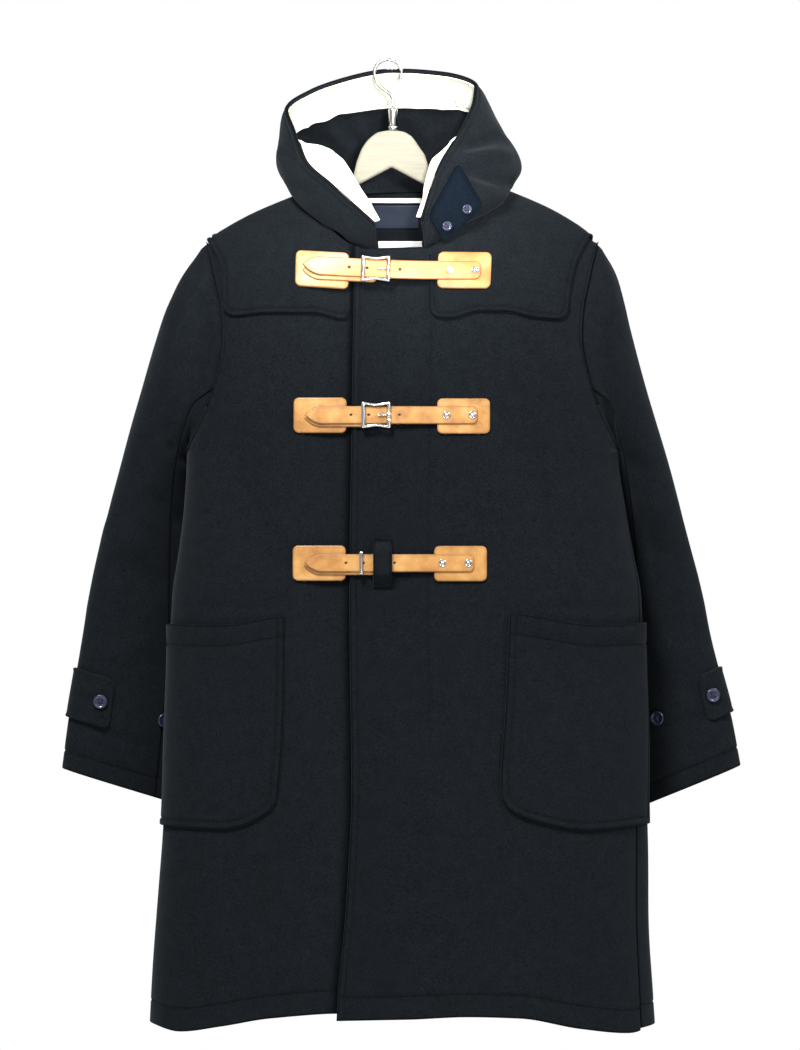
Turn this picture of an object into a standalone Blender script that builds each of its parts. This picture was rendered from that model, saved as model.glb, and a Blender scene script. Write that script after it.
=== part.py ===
"""A wool duffle coat with leather buckle fastenings, as it hangs on a wooden hanger.

Metres, +Z up, +X to the viewer's right, +Y away from the viewer. The origin is inside the top of the hanger's hook.
Each cloth piece is a wall through a grid of points on the garment's surface, so pieces that are sewn together share
their seam's points and normals. What lies on a panel is made from the panel's own points, moved out.
"""

import math
from bisect import bisect_right

import bmesh
import bpy
from mathutils import Matrix, Vector
from mathutils.bvhtree import BVHTree

COAT = "duffle_coat"

# Thicknesses
WALL = 0.003
GAP = 0.0003
LAY_GAP = 0.0006
FACING_WALL = 0.0015
PATCH_WALL = 0.0024
STRAP_WALL = 0.0020
LABEL_WALL = 0.0010

# The body tube: its section is a flattened superellipse, deeper in front than behind.
SQUARENESS = 2.6
SHOULDER_ROLL = 0.14  # the drop below the shoulder line over which the cloth comes forward
ROLL_POWER = 0.75
ARMPIT_Z = -0.469
#             z      centre  half_width  front   back   middle_y
SECTIONS = (
    (-0.150, 0.0145, 0.2570, 0.0750, 0.0620, 0.000),
    (-0.250, 0.0145, 0.2570, 0.0790, 0.0640, 0.000),
    (-0.350, 0.0148, 0.2560, 0.0840, 0.0680, -0.006),
    (-0.481, 0.0155, 0.2572, 0.0860, 0.0720, -0.010),
    (-0.540, 0.0178, 0.2628, 0.0870, 0.0740, -0.010),
    (-0.592, 0.0195, 0.2705, 0.0880, 0.0750, -0.010),
    (-0.642, 0.0205, 0.2785, 0.0890, 0.0760, -0.010),
    (-0.768, 0.0193, 0.2840, 0.0920, 0.0800, -0.008),
    (-0.923, 0.0182, 0.2885, 0.0960, 0.0860, -0.006),
    (-1.074, 0.0140, 0.2960, 0.1000, 0.0910, -0.002),
    (-1.170, 0.0150, 0.3015, 0.1030, 0.0950, 0.000),
)
# Edges of the panels, as (x, z)
SHOULDER_LINE = (
    (-0.300, -0.2640),
    (-0.2225, -0.2218),
    (-0.168, -0.1912),
    (-0.1056, -0.1645),
    (-0.050, -0.140),
    (0.012, -0.124),
    (0.070, -0.134),
    (0.128, -0.156),
    (0.1872, -0.1808),
    (0.2208, -0.2004),
    (0.245, -0.2186),
    (0.330, -0.268),
)
NECK_SIDE = {"left": -0.1056, "right": 0.128}
FRONT_NECK = (
    (-0.1056, -0.1645),
    (-0.0762, -0.198),
    (-0.0456, -0.219),
    (0.012, -0.232),
    (0.042, -0.2215),
    (0.075, -0.206),
    (0.105, -0.186),
    (0.128, -0.156),
)
BACK_NECK = ((-0.1056, -0.1645), (-0.060, -0.1625), (0.012, -0.1585), (0.085, -0.157), (0.128, -0.156))
LEFT_HEM = ((-0.2870, -1.155), (-0.2520, -1.1640), (-0.2016, -1.157), (-0.144, -1.147), (-0.060, -1.141), (0.05, -1.141))
RIGHT_HEM = ((-0.0636, -1.1496), (0.020, -1.148), (0.091, -1.145), (0.156, -1.147), (0.228, -1.160), (0.2856, -1.166), (0.318, -1.157))
BACK_HEM = ((-0.287, -1.155), (-0.252, -1.160), (-0.10, -1.150), (0.02, -1.148), (0.13, -1.150), (0.2856, -1.162), (0.318, -1.157))
# The right front's free edge, as (z, x)
CLOSING_EDGE = ((-1.160, -0.0642), (-1.110, -0.0612), (-1.038, -0.0540), (-0.966, -0.0492), (-0.876, -0.0456), (-0.646, -0.0480), (-0.447, -0.0456), (-0.230, -0.0420))
UNDERLAP_X = 0.020  # how far the left front runs on under the right front
UNDERLAP_DEPTH = WALL + 2 * LAY_GAP
UNDERLAP_STEP = (-0.108, -0.070)
# The armhole's share of the half width, by the share of the way from the shoulder to the armpit
ARMHOLE = ((0.0, 0.905), (0.15, 0.872), (0.33, 0.836), (0.45, 0.830), (0.60, 0.853), (0.78, 0.905), (0.92, 0.965), (1.0, 1.0))
# The side seams' angle round the body from the front's middle, by height
SIDE_SEAM = {
    "left": ((-1.17, 98.0), (-0.77, 97.0), (-0.469, 90.0)),
    "right": ((-1.17, 68.0), (-0.93, 70.0), (-0.77, 76.0), (-0.469, 90.0)),
}

# Rows of the panels: shares of the way from the top edge to the armpit's height, and then to the hem
ARMHOLE_ROWS = (0.0, 0.02, 0.06, 0.13, 0.21, 0.30, 0.40, 0.53, 0.70, 0.86, 1.0)
SKIRT_ROWS = 9
# Columns of the panels, by the x at which they leave the top edge
LEFT_COLUMNS = (0.020, -0.012, -0.040, -0.060, -0.082, -0.1056, -0.118, -0.140, -0.160, -0.178, -0.193, -0.204, -0.212, -0.218)
RIGHT_COLUMNS = (-0.042, -0.010, 0.020, 0.050, 0.080, 0.105, 0.128, 0.141, 0.162, 0.183, 0.202, 0.217, 0.228, 0.238, 0.247)
BACK_COLUMNS = (
    0.247, 0.238, 0.228, 0.217, 0.202, 0.183, 0.162, 0.141, 0.128, 0.090, 0.050, 0.012,
    -0.030, -0.070, -0.1056, -0.118, -0.140, -0.160, -0.178, -0.193, -0.204, -0.212, -0.218,
)  # fmt: skip

# Sleeves: the outer and the inner line of the flattened tube's outer face, row by row, and its half depth there
SLEEVE_SQUARENESS = 2.3
SEAM_ROW = 0.0008  # the sleeve starts this far from the armhole
SLEEVE_SEAM = 0.0016
ARMPIT_TURN = (0.6, 1.0, 0.5)  # from and to where down the armhole the seam's wall turns down, and how far
UNDER_SLEEVE_FROM = 8  # the row of the armhole from which the under sleeve takes over
#     outer_x outer_y outer_z  inner_x inner_y inner_z  half_depth belly
SLEEVES = {
    "left": (
        (-0.2535, 0.000, -0.2650, -0.2518, -0.004, -0.4715, 0.066, 0.012),
        (-0.2790, 0.000, -0.3300, -0.2525, 0.004, -0.4800, 0.071, 0.005),
        (-0.3015, 0.002, -0.4032, -0.2518, 0.016, -0.4950, 0.068, 0.0),
        (-0.3235, 0.008, -0.4812, -0.2440, 0.046, -0.5260, 0.058, 0.0),
        (-0.3465, 0.020, -0.5688, -0.2340, 0.072, -0.6040, 0.052, 0.0),
        (-0.3605, 0.029, -0.6288, -0.2300, 0.079, -0.6720, 0.049, 0.0),
        (-0.3730, 0.036, -0.7020, -0.2290, 0.086, -0.7480, 0.045, 0.0),
        (-0.3890, 0.038, -0.7968, -0.2350, 0.088, -0.8430, 0.041, 0.0),
        (-0.3965, 0.038, -0.8508, -0.2410, 0.088, -0.9030, 0.037, 0.0),
    ),
    "right": (
        (0.2725, 0.000, -0.2600, 0.2815, -0.004, -0.4715, 0.066, 0.012),
        (0.2890, 0.000, -0.3240, 0.2820, 0.004, -0.4800, 0.071, 0.005),
        (0.3075, 0.002, -0.3900, 0.2810, 0.016, -0.4950, 0.068, 0.0),
        (0.3330, 0.008, -0.4776, 0.2780, 0.048, -0.5260, 0.058, 0.0),
        (0.3570, 0.020, -0.5652, 0.2720, 0.074, -0.6040, 0.052, 0.0),
        (0.3715, 0.029, -0.6204, 0.2690, 0.082, -0.6700, 0.049, 0.0),
        (0.3880, 0.036, -0.6960, 0.2670, 0.088, -0.7440, 0.045, 0.0),
        (0.4100, 0.038, -0.7824, 0.2690, 0.089, -0.8400, 0.041, 0.0),
        (0.4225, 0.038, -0.8470, 0.2710, 0.089, -0.9010, 0.037, 0.0),
    ),
}

# Hood: each row is a curve from the rim to the neck seam, pulled out at both ends. along runs round the opening.
#     along   rim_x    rim_y    rim_z     pull_x  pull_y  pull_z   neck_px neck_py neck_pz
HOOD = (
    (-1.00, -0.0168, -0.0900, -0.1992, 0.000, 0.000, -0.008, 0.000, -0.004, 0.008),
    (-0.75, -0.0708, -0.0680, -0.1500, -0.010, 0.004, -0.018, -0.014, -0.010, 0.020),
    (-0.60, -0.1000, -0.0460, -0.1224, -0.027, 0.012, -0.016, -0.034, -0.004, 0.024),
    (-0.50, -0.1140, -0.0280, -0.0840, -0.029, 0.022, -0.014, -0.034, 0.004, 0.034),
    (-0.40, -0.1220, -0.0100, -0.0600, -0.020, 0.032, -0.012, -0.030, 0.050, 0.014),
    (-0.22, -0.0936, 0.0070, -0.0360, -0.012, 0.050, -0.016, -0.024, 0.120, -0.050),
    (0.00, 0.0024, 0.0120, -0.0110, 0.000, 0.056, -0.018, 0.000, 0.140, -0.080),
    (0.22, 0.0640, 0.0100, -0.0150, 0.010, 0.052, -0.018, 0.024, 0.120, -0.055),
    (0.40, 0.1010, 0.0010, -0.0300, 0.026, 0.034, -0.016, 0.036, 0.055, 0.010),
    (0.50, 0.0990, -0.0120, -0.0480, 0.038, 0.020, -0.030, 0.052, 0.004, 0.028),
    (0.60, 0.0860, -0.0340, -0.0804, 0.043, 0.006, -0.020, 0.048, -0.008, 0.026),
    (0.78, 0.0580, -0.0620, -0.1310, 0.018, -0.008, -0.016, 0.022, -0.014, 0.020),
    (1.00, 0.0372, -0.0890, -0.1940, 0.000, 0.000, -0.006, 0.000, -0.004, 0.006),
)
HOOD_COLUMNS = 12  # in each half
HOOD_CENTRE_GAP = 0.002  # the share of the way round at which each half starts
HOOD_ROWS = (0.0, 0.08, 0.20, 0.27, 0.35, 0.43, 0.50, 0.65, 0.80, 0.92, 1.0)
HOOD_SEAM = 0.0010
HOOD_TUCK = (-0.075, -0.046)
HOOD_TUCK_RISE = 0.0035
NECK_SIDE_RISE = 0.0038  # the hood's edge rises over the corners at the neck's sides
NECK_SIDE_REACH = 0.2
FRONT_NECK_END = {"left": -0.016, "right": 0.0405}
FACING_WIDTH = 0.050
FACING_ROWS = (0.02, 0.08, 0.20)
FACING_PARTS = (0.0, 0.2, 0.4, 0.6, 0.8, 1.0)
FACING_GAP = 0.0018
# Where the facing stands off the hood: how far its lower edge then lies from the rim, and how fully it stands off
#     along   reach_x reach_y reach_z  share
FACING_REACH = (
    (-1.00, 0.007, 0.012, 0.003, 1.0),
    (-0.88, 0.020, 0.018, 0.004, 1.0),
    (-0.75, 0.032, 0.026, 0.002, 1.0),
    (-0.60, 0.034, 0.030, 0.006, 1.0),
    (-0.53, 0.020, 0.036, 0.000, 1.0),
    (-0.46, 0.003, 0.045, -0.010, 0.0),
    (0.00, 0.000, 0.040, -0.020, 0.0),
    (0.54, 0.000, 0.040, -0.010, 0.0),
    (0.64, -0.004, 0.030, -0.002, 1.0),
    (0.72, -0.010, 0.022, -0.003, 1.0),
    (0.80, -0.011, 0.016, 0.000, 1.0),
    (0.90, -0.007, 0.011, 0.000, 1.0),
    (1.00, -0.004, 0.008, 0.000, 1.0),
)
FACING_START = 0.001  # where it stands off, the facing starts this far from the rim

# Yokes: the inner column's x at the top, the outer edge's share of the way to the armhole, the lower edge's height
YOKES = {
    "left": {"inner_x": -0.048, "outer": 0.975, "lower_z": -0.310, "start": -0.118},
    "right": {"inner_x": 0.0475, "outer": 0.90, "lower_z": -0.311, "start": 0.141},
}
YOKE_NECK_MARGIN = 0.05
BACK_YOKE_Z = -0.330
YOKE_LAST_ROW = {"front": 0.31, "back": 0.45}  # the yokes take the panel's rows down to here
YOKE_GAP = 0.0012

# Patch pockets that wrap round the sides
POCKETS = {
    "left": {"inner": ((-0.676, -0.1248), (-0.775, -0.1260), (-0.870, -0.1320), (-0.925, -0.1420))},
    "right": {"inner": ((-0.676, 0.1416), (-0.775, 0.1380), (-0.870, 0.1320), (-0.925, 0.1440))},
}
POCKET_TOP = ((-0.30, -0.676), (-0.20, -0.678), (-0.125, -0.667), (0.141, -0.664), (0.245, -0.678), (0.31, -0.675))
POCKET_BOTTOM = ((-0.30, -0.916), (-0.20, -0.922), (-0.142, -0.910), (0.144, -0.908), (0.230, -0.923), (0.31, -0.916))
POCKET_ROWS = 6
POCKET_WRAP = 2  # columns of the back panel that the pocket covers
POCKET_GAPE = 0.004

# Fastenings, top to bottom
FASTENINGS = (
    #  z       left patch x, z    right patch x, z   strap tip x, strap end x   lies on yoke
    {"name": "1", "z": -0.2502, "left": (-0.0808, -0.2502), "right": (0.0889, -0.2520), "tip": -0.1010, "end": 0.1075, "yoke": True},
    {"name": "2", "z": -0.4272, "left": (-0.0830, -0.4272), "right": (0.0876, -0.4282), "tip": -0.1000, "end": 0.1040, "yoke": False},
    {"name": "3", "z": -0.6036, "left": (-0.0840, -0.6036), "right": (0.0840, -0.6042), "tip": -0.1005, "end": 0.1000, "yoke": False},
)
PATCH_SIZE = (0.0630, 0.0420)
PATCH_CORNER = 0.005
STRAP_WIDTH = 0.0210
STRAP_STEPS = 14
STRAP_TIP = 0.008
STRAP_FALL = (-0.008, 0.050)  # where the long strap comes down off the short one
SHORT_STRAP_END = -0.0150
BUCKLE_X = -0.0164
BUCKLE_SIZE = (0.0355, 0.0330)
BUCKLE_WIRE = 0.0017
RIVET_RADIUS = 0.0046
RIVET_OFFSETS = (-0.0185, 0.0095)  # from the middle of the right patch
KEEPER = {"x": -0.0086, "width": 0.0200, "height": 0.0580, "wall": 0.0022}

TAB_CORNERS = ((0.0809, -0.1224), (0.1122, -0.1769), (0.0644, -0.2220), (0.0442, -0.1888))
TAB_STEPS = 5
TAB_SMOOTHING = 12
TAB_GAP = 0.0008
TAB_WALL = 0.0034
TAB_BUTTONS = ((0.0919, -0.1805), (0.0680, -0.2008))

CUFF_STRAP_ROWS = (6.30, 6.62, 6.92)
CUFF_STRAP_ANGLES = 4  # columns each side of the outer line
BUTTON_RADIUS = 0.0085
BUTTON_THICK = 0.0030
TAB_BUTTON_RADIUS = 0.0055

TAPE = {"x": (-0.0288, 0.0379), "z": (-0.1635, -0.1688)}
LABEL = {"x": (-0.0233, 0.0343), "z": (-0.1722, -0.1992)}
TAG = {"x": (-0.0144, 0.0384), "z": (-0.2150, -0.2390)}

STRIP_GAP = 0.0009

# Hanger
BOARD_THICK = 0.012
ARM_REACH = (-0.2060, 0.2160)
ARM_CLEARANCE = 0.0075
ARM_HEIGHT = (0.024, 0.034)
CROWN_TOP_Z = -0.0834
CROWN = ((-0.0402, -0.1212), (-0.0341, -0.1056), (-0.0252, -0.0936), (-0.0126, -0.0852), (0.0024, -0.0834), (0.0144, -0.0846), (0.0252, -0.0900), (0.0348, -0.1026), (0.0420, -0.1128))
NOTCH = (0.0019, -0.1278)
ARM_STEPS = 7
WIRE_RADIUS = 0.0019
HOOK_RADIUS = 0.0163
HOOK_ROUND = (-25.0, 205.0)
FERRULE = {"x": 0.0036, "radius": 0.0056, "z": (-0.0560, -0.0830)}

COLORS = {
    "wool": ((0.011, 0.014, 0.018), 0.90, 0.0),
    "tab_cloth": ((0.020, 0.030, 0.045), 0.80, 0.0),
    "facing": ((0.86, 0.83, 0.74), 0.80, 0.0),
    "leather": ((0.72, 0.42, 0.19), 0.45, 0.0),
    "metal": ((0.75, 0.75, 0.74), 0.25, 1.0),
    "button": ((0.015, 0.020, 0.045), 0.35, 0.0),
    "label": ((0.80, 0.80, 0.78), 0.70, 0.0),
    "wood": ((0.85, 0.76, 0.58), 0.45, 0.0),
}


def curve_through(pairs):
    """A smooth function through (place, value) pairs that never swings past them."""
    pairs = sorted(pairs)
    xs = [p[0] for p in pairs]
    ys = [p[1] for p in pairs]
    steps = [(ys[i + 1] - ys[i]) / (xs[i + 1] - xs[i]) for i in range(len(xs) - 1)]
    slopes = [steps[0]]
    for before, after in zip(steps, steps[1:]):
        slopes.append(0.0 if before * after <= 0 else 2 * before * after / (before + after))
    slopes.append(steps[-1])

    def value(x):
        if x <= xs[0]:
            return ys[0] + slopes[0] * (x - xs[0])
        if x >= xs[-1]:
            return ys[-1] + slopes[-1] * (x - xs[-1])
        i = bisect_right(xs, x) - 1
        width = xs[i + 1] - xs[i]
        t = (x - xs[i]) / width
        return (
            ys[i] * (1 + 2 * t) * (1 - t) ** 2
            + slopes[i] * width * t * (1 - t) ** 2
            + ys[i + 1] * t * t * (3 - 2 * t)
            - slopes[i + 1] * width * t * t * (1 - t)
        )

    return value


def lerp(a, b, t):
    return a + (b - a) * t


def smooth_step(low, high, x):
    t = min(1.0, max(0.0, (x - low) / (high - low)))
    return t * t * (3 - 2 * t)


centre_at, half_width_at, front_at, back_at, middle_at = (
    curve_through([(row[0], row[k]) for row in SECTIONS]) for k in range(1, 6)
)
shoulder_at = curve_through(SHOULDER_LINE)
front_neck_at = curve_through(FRONT_NECK)
back_neck_at = curve_through(BACK_NECK)
closing_edge_at = curve_through(CLOSING_EDGE)
armhole_at = curve_through(ARMHOLE)
side_seam_at = {side: curve_through(pairs) for side, pairs in SIDE_SEAM.items()}
hem_at = {"left": curve_through(LEFT_HEM), "right": curve_through(RIGHT_HEM), "back": curve_through(BACK_HEM)}
pocket_top_at = curve_through(POCKET_TOP)
pocket_bottom_at = curve_through(POCKET_BOTTOM)
TOP_CENTRE = centre_at(-0.2)
TOP_HALF_WIDTH = half_width_at(-0.2)
SHOULDER_POINT_X = {
    "left": TOP_CENTRE - TOP_HALF_WIDTH * armhole_at(0),
    "right": TOP_CENTRE + TOP_HALF_WIDTH * armhole_at(0),
}


def signed_power(value, power):
    return math.copysign(abs(value) ** power, value)


def angle_of(x, z):
    """The angle round the body, in degrees from the front's middle, at which the front passes x."""
    share = (x - centre_at(z)) / half_width_at(z)
    return math.degrees(math.asin(max(-1.0, min(1.0, signed_power(share, SQUARENESS / 2)))))


def body_point(angle, z):
    """A point on the inner face of the body's cloth."""
    a = math.radians(angle)
    x = centre_at(z) + half_width_at(z) * signed_power(math.sin(a), 2 / SQUARENESS)
    depth = front_at(z) if math.cos(a) > 0 else back_at(z)
    drop = min(1.0, max(0.0, (shoulder_at(x) - z) / SHOULDER_ROLL))
    depth *= math.sin(math.pi / 2 * drop) ** ROLL_POWER
    return Vector((x, middle_at(z) - depth * signed_power(math.cos(a), 2 / SQUARENESS), z))


def edge_angle(side, face, z):
    """The angle of the armhole, or below it of the side seam, on one side of the front or back."""
    if z <= ARMPIT_Z:
        return side_seam_at[side](z)
    top = shoulder_at(SHOULDER_POINT_X[side])
    share = max(0.0, (top - z) / (top - ARMPIT_Z))
    angle = math.degrees(math.asin(min(1.0, armhole_at(min(1.0, share)) ** (SQUARENESS / 2))))
    return angle if face == "front" else 180 - angle


def top_z(face, x):
    neck = front_neck_at if face == "front" else back_neck_at
    return neck(x) if NECK_SIDE["left"] < x < NECK_SIDE["right"] else shoulder_at(x)


class Panel:
    """A front or the back. f runs across it from 0 to 1; s runs down it, with 1 at the armpit and 2 at the hem."""

    def __init__(self, name):
        self.name = name
        self.face = "back" if name == "back" else "front"
        self.sign = -1 if name == "left" else 1

    def edges(self, z):
        if self.name == "left":
            return angle_of(UNDERLAP_X, z), -edge_angle("left", "front", z)
        if self.name == "right":
            return angle_of(closing_edge_at(z), z), edge_angle("right", "front", z)
        return edge_angle("right", "back", z), 360 - edge_angle("left", "back", z)

    def column(self, x):
        """The f of the column that leaves the top edge at x."""
        first, last = self.edges(top_z(self.face, x) if self.name == "right" else -0.2)
        angle = angle_of(x, -0.2)
        if self.face == "back":
            angle = 180 - angle
        return (angle - first) / (last - first)

    def top(self, f):
        first, last = self.edges(-0.2)
        a = math.radians(lerp(first, last, f))
        x = TOP_CENTRE + TOP_HALF_WIDTH * signed_power(math.sin(a), 2 / SQUARENESS)
        return top_z(self.face, x)

    def point(self, f, s):
        top = self.top(min(1.0, max(0.0, f)))
        if s <= 1:
            z = lerp(top, ARMPIT_Z, s)
        else:
            x = body_point(lerp(*self.edges(-1.15), f), -1.15).x
            z = lerp(ARMPIT_Z, hem_at[self.name](x), s - 1)
        place = body_point(lerp(*self.edges(z), f), z)
        if self.name == "left":
            place.y += UNDERLAP_DEPTH * smooth_step(*UNDERLAP_STEP, place.x)
        return place

    def normal(self, f, s):
        """The outward normal; the differences are one-sided at the top edge."""
        step = 0.004
        across = self.point(min(1, f + step), s) - self.point(max(0, f - step), s)
        down = self.point(f, s + step) - self.point(f, max(0.0, s - step))
        normal = (self.sign * down.cross(across)).normalized()
        at_armhole = f >= 1 or (f <= 0 and self.face == "back")
        if at_armhole and s <= 1:
            share = ARMPIT_TURN[2] * smooth_step(ARMPIT_TURN[0], ARMPIT_TURN[1], s)
            normal = normal.lerp(Vector((0, 0, -1)), share).normalized()
        return normal

    def share_across(self, x, z):
        """The f at which the face passes x at a height."""
        first, last = self.edges(z)
        return (angle_of(x, z) - first) / (last - first)

    def share_down(self, f, z):
        """The s at which a column reaches a height above the hem."""
        top = self.top(min(1.0, max(0.0, f)))
        if z >= ARMPIT_Z:
            return (top - z) / (top - ARMPIT_Z)
        x = body_point(lerp(*self.edges(-1.15), f), -1.15).x
        return 1 + (ARMPIT_Z - z) / (ARMPIT_Z - hem_at[self.name](x))


PANELS = {name: Panel(name) for name in ("left", "right", "back")}
PANEL_ROWS = ARMHOLE_ROWS + tuple(1 + (k + 1) / SKIRT_ROWS for k in range(SKIRT_ROWS))


def new_material(name):
    color, roughness, metallic = COLORS[name]
    material = bpy.data.materials.new(name)
    material.use_nodes = True
    shader = material.node_tree.nodes["Principled BSDF"]
    shader.inputs["Base Color"].default_value = (*color, 1)
    shader.inputs["Roughness"].default_value = roughness
    shader.inputs["Metallic"].default_value = metallic
    return material


def add_object(name, data, material):
    piece = bpy.data.objects.new(name, data)
    if not data.materials:
        data.materials.append(materials[material])
    parts.objects.link(piece)
    return piece


def add_mesh(name, bm, material, smooth_angle=40):
    bmesh.ops.recalc_face_normals(bm, faces=bm.faces)
    mesh = bpy.data.meshes.new(name)
    bm.to_mesh(mesh)
    bm.free()
    mesh.shade_smooth()
    mesh.set_sharp_from_angle(angle=math.radians(smooth_angle))
    return add_object(name, mesh, material)


def add_wall(name, material, grid, inner, outer):
    """A closed wall over a grid of (point, normal), from inner to outer along the normals."""
    bm = bmesh.new()
    layers = [
        [[bm.verts.new(point + normal * lift) for point, normal in row] for row in grid]
        for lift in (inner, outer)
    ]
    rows, columns = len(grid), len(grid[0])
    for layer in layers:
        for i in range(rows - 1):
            for j in range(columns - 1):
                # both layers take the same diagonal, so a twisted wall keeps its thickness
                bm.faces.new((layer[i][j], layer[i][j + 1], layer[i + 1][j + 1]))
                bm.faces.new((layer[i][j], layer[i + 1][j + 1], layer[i + 1][j]))
    rim = [(0, j) for j in range(columns)]
    rim += [(i, columns - 1) for i in range(1, rows)]
    rim += [(rows - 1, j) for j in range(columns - 2, -1, -1)]
    rim += [(i, 0) for i in range(rows - 2, 0, -1)]
    for (i, j), (k, m) in zip(rim, rim[1:] + rim[:1]):
        bm.faces.new((layers[0][i][j], layers[1][i][j], layers[1][k][m], layers[0][k][m]))
    return add_mesh(name, bm, material)


def panel_grid(panel, columns, rows, shift=0.0):
    """The grid of a panel; shift moves its first and last column inward, to leave the seams' gap."""
    grid = []
    for s in rows:
        row = []
        for f in columns:
            point = panel.point(f, s)
            normal = panel.normal(f, s)
            if shift and f in (0, 1):
                toward = panel.point(0.5, s) if len(columns) < 3 else panel.point(abs(f - 0.03), s)
                point += (toward - point).normalized() * shift
            row.append((point, normal))
        grid.append(row)
    return grid


def build_body():
    names = {"left": ("front_left", LEFT_COLUMNS), "right": ("front_right", RIGHT_COLUMNS), "back": ("back", BACK_COLUMNS)}
    for key, (name, top_places) in names.items():
        panel = PANELS[key]
        columns = [panel.column(x) for x in top_places]
        columns = [0.0, *columns[1:-1], 1.0]
        grid = panel_grid(panel, columns, PANEL_ROWS, GAP)
        side = -1 if panel.face == "front" else 1
        for j, (point, normal) in enumerate(grid[0]):
            if not NECK_SIDE["left"] < point.x < NECK_SIDE["right"]:
                grid[0][j] = (point + Vector((0, side * GAP, 0)), normal)
        add_wall(name, "wool", grid, 0, WALL)


def armhole_ring(side):
    """The armhole's points and normals: down the front from the shoulder to the armpit and up the back."""
    front, back = PANELS[side], PANELS["back"]
    back_f = 1.0 if side == "left" else 0.0
    ring = [(front.point(1, s), front.normal(1, s)) for s in ARMHOLE_ROWS]
    ring += [(back.point(back_f, s), back.normal(back_f, s)) for s in reversed(ARMHOLE_ROWS[1:-1])]
    return ring


def ring_angles():
    """The angles round a sleeve, from the outer line by the front to the inner line and back."""
    half = [math.acos(1 - 2 * s) for s in ARMHOLE_ROWS]
    return half + [2 * math.pi - a for a in reversed(half[1:-1])]


def sleeve_point(side, row, angle):
    """A point of a sleeve below its head; row may lie between two rows of the table."""
    i = min(int(row), len(SLEEVES[side]) - 2)
    values = [lerp(a, b, row - i) for a, b in zip(SLEEVES[side][i], SLEEVES[side][i + 1])]
    outer, inner = Vector(values[:3]), Vector(values[3:6])
    half_depth, belly = values[6:]
    power = 2 / SLEEVE_SQUARENESS
    place = (outer + inner) / 2 + (outer - inner) / 2 * signed_power(math.cos(angle), power)
    place.y -= half_depth * signed_power(math.sin(angle), power)
    place.x += (belly if side == "left" else -belly) * math.sin(angle) ** 2
    return place


def sleeve_normal(side, row, angle):
    step = 0.02
    along = sleeve_point(side, row + step, angle) - sleeve_point(side, max(0, row - step), angle)
    around = sleeve_point(side, row, angle + step) - sleeve_point(side, row, angle - step)
    sign = -1 if side == "left" else 1
    return (sign * around.cross(along)).normalized()


def build_sleeve(side):
    angles = ring_angles()
    count = len(angles)
    rows = [armhole_ring(side)]
    for r in range(len(SLEEVES[side])):
        rows.append([(sleeve_point(side, r, a), sleeve_normal(side, r, a)) for a in angles])
    rows[0] = [
        (point + normal * WALL + (below[0] - point).normalized() * SEAM_ROW, normal)
        for (point, normal), below in zip(rows[0], rows[1])
    ]
    first, last = UNDER_SLEEVE_FROM, count - UNDER_SLEEVE_FROM
    spans = {
        "sleeve_top_": [k % count for k in range(last, count + first + 1)],
        "sleeve_under_": list(range(first, last + 1)),
    }
    for prefix, picks in spans.items():
        grid = [[row[k] for k in picks] for row in rows]
        for row in grid:
            for end, beside in ((0, 1), (-1, -2)):
                point, normal = row[end]
                row[end] = (point + (row[beside][0] - point).normalized() * SLEEVE_SEAM, normal)
        add_wall(prefix + side, "wool", grid, -WALL, 0)


def neck_site(along):
    """The neckline's point on the panels, with the panel's normal; along runs from -1 to 1 round the neck."""
    side = "left" if along < 0 else "right"
    if abs(along) <= 0.5:
        x = lerp(TOP_CENTRE, NECK_SIDE[side], abs(along) / 0.5)
        panel = PANELS["back"]
    else:
        x = lerp(NECK_SIDE[side], FRONT_NECK_END[side], (min(1, abs(along)) - 0.5) / 0.5)
        panel = PANELS[side]
    f = panel.column(x)
    return panel.point(f, 0), panel.normal(f, 0)


def neck_point(along):
    """Where the hood's edge meets the panels, and which way its wall faces there.

    The hood's edge lies on the panels' outer face, but its left end is tucked in under the right front.
    """
    step = 0.04
    before, here, after = (neck_site(max(-1, min(1, along + k * step))) for k in (-1, 0, 1))
    normal = (before[1] + here[1] + after[1]).normalized()
    away = normal.cross(after[0] - before[0]).normalized()
    tucked = smooth_step(*HOOD_TUCK, here[0].x) if along < -0.5 else 0.0
    at_side = max(0.0, 1 - abs(abs(along) - 0.5) / NECK_SIDE_REACH)
    lift = normal * (WALL + HOOD_SEAM + NECK_SIDE_RISE * at_side) * (1 - tucked)
    lift.z += 2 * HOOD_SEAM * tucked + HOOD_TUCK_RISE * math.sin(math.pi * tucked)
    return here[0] + lift, away.lerp(normal, tucked).normalized()


hood_at = [curve_through([(row[0], row[k]) for row in HOOD]) for k in range(1, 10)]
facing_reach_at = [curve_through([(row[0], row[k]) for row in FACING_REACH]) for k in range(1, 5)]


def hood_point(along, down):
    """A point of the hood's inner face: down is 0 at the rim and 1 at the neck seam."""
    values = [value(along) for value in hood_at]
    rim, rim_pull, neck_pull = Vector(values[:3]), Vector(values[3:6]), Vector(values[6:])
    neck = neck_point(along)[0]
    a, b, c, d = rim, rim + rim_pull, neck + neck_pull, neck
    t = down
    return a * (1 - t) ** 3 + b * 3 * t * (1 - t) ** 2 + c * 3 * t * t * (1 - t) + d * t**3


def hood_normal(along, down):
    if down == 1:
        return neck_point(along)[1]
    step = 0.01
    across = hood_point(min(1, along + step), down) - hood_point(max(-1, along - step), down)
    below = hood_point(along, min(1, down + step)) - hood_point(along, max(0, down - step))
    return across.cross(below).normalized()


def facing_share(along):
    """How far down the hood's curve its facing reaches."""
    steps = 40
    places = [hood_point(along, k / steps) for k in range(steps + 1)]
    runs = [0.0]
    for a, b in zip(places, places[1:]):
        runs.append(runs[-1] + (b - a).length)
    target = min(FACING_WIDTH, 0.8 * runs[-1])
    return next(k for k, run in enumerate(runs) if run >= target) / steps


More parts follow.
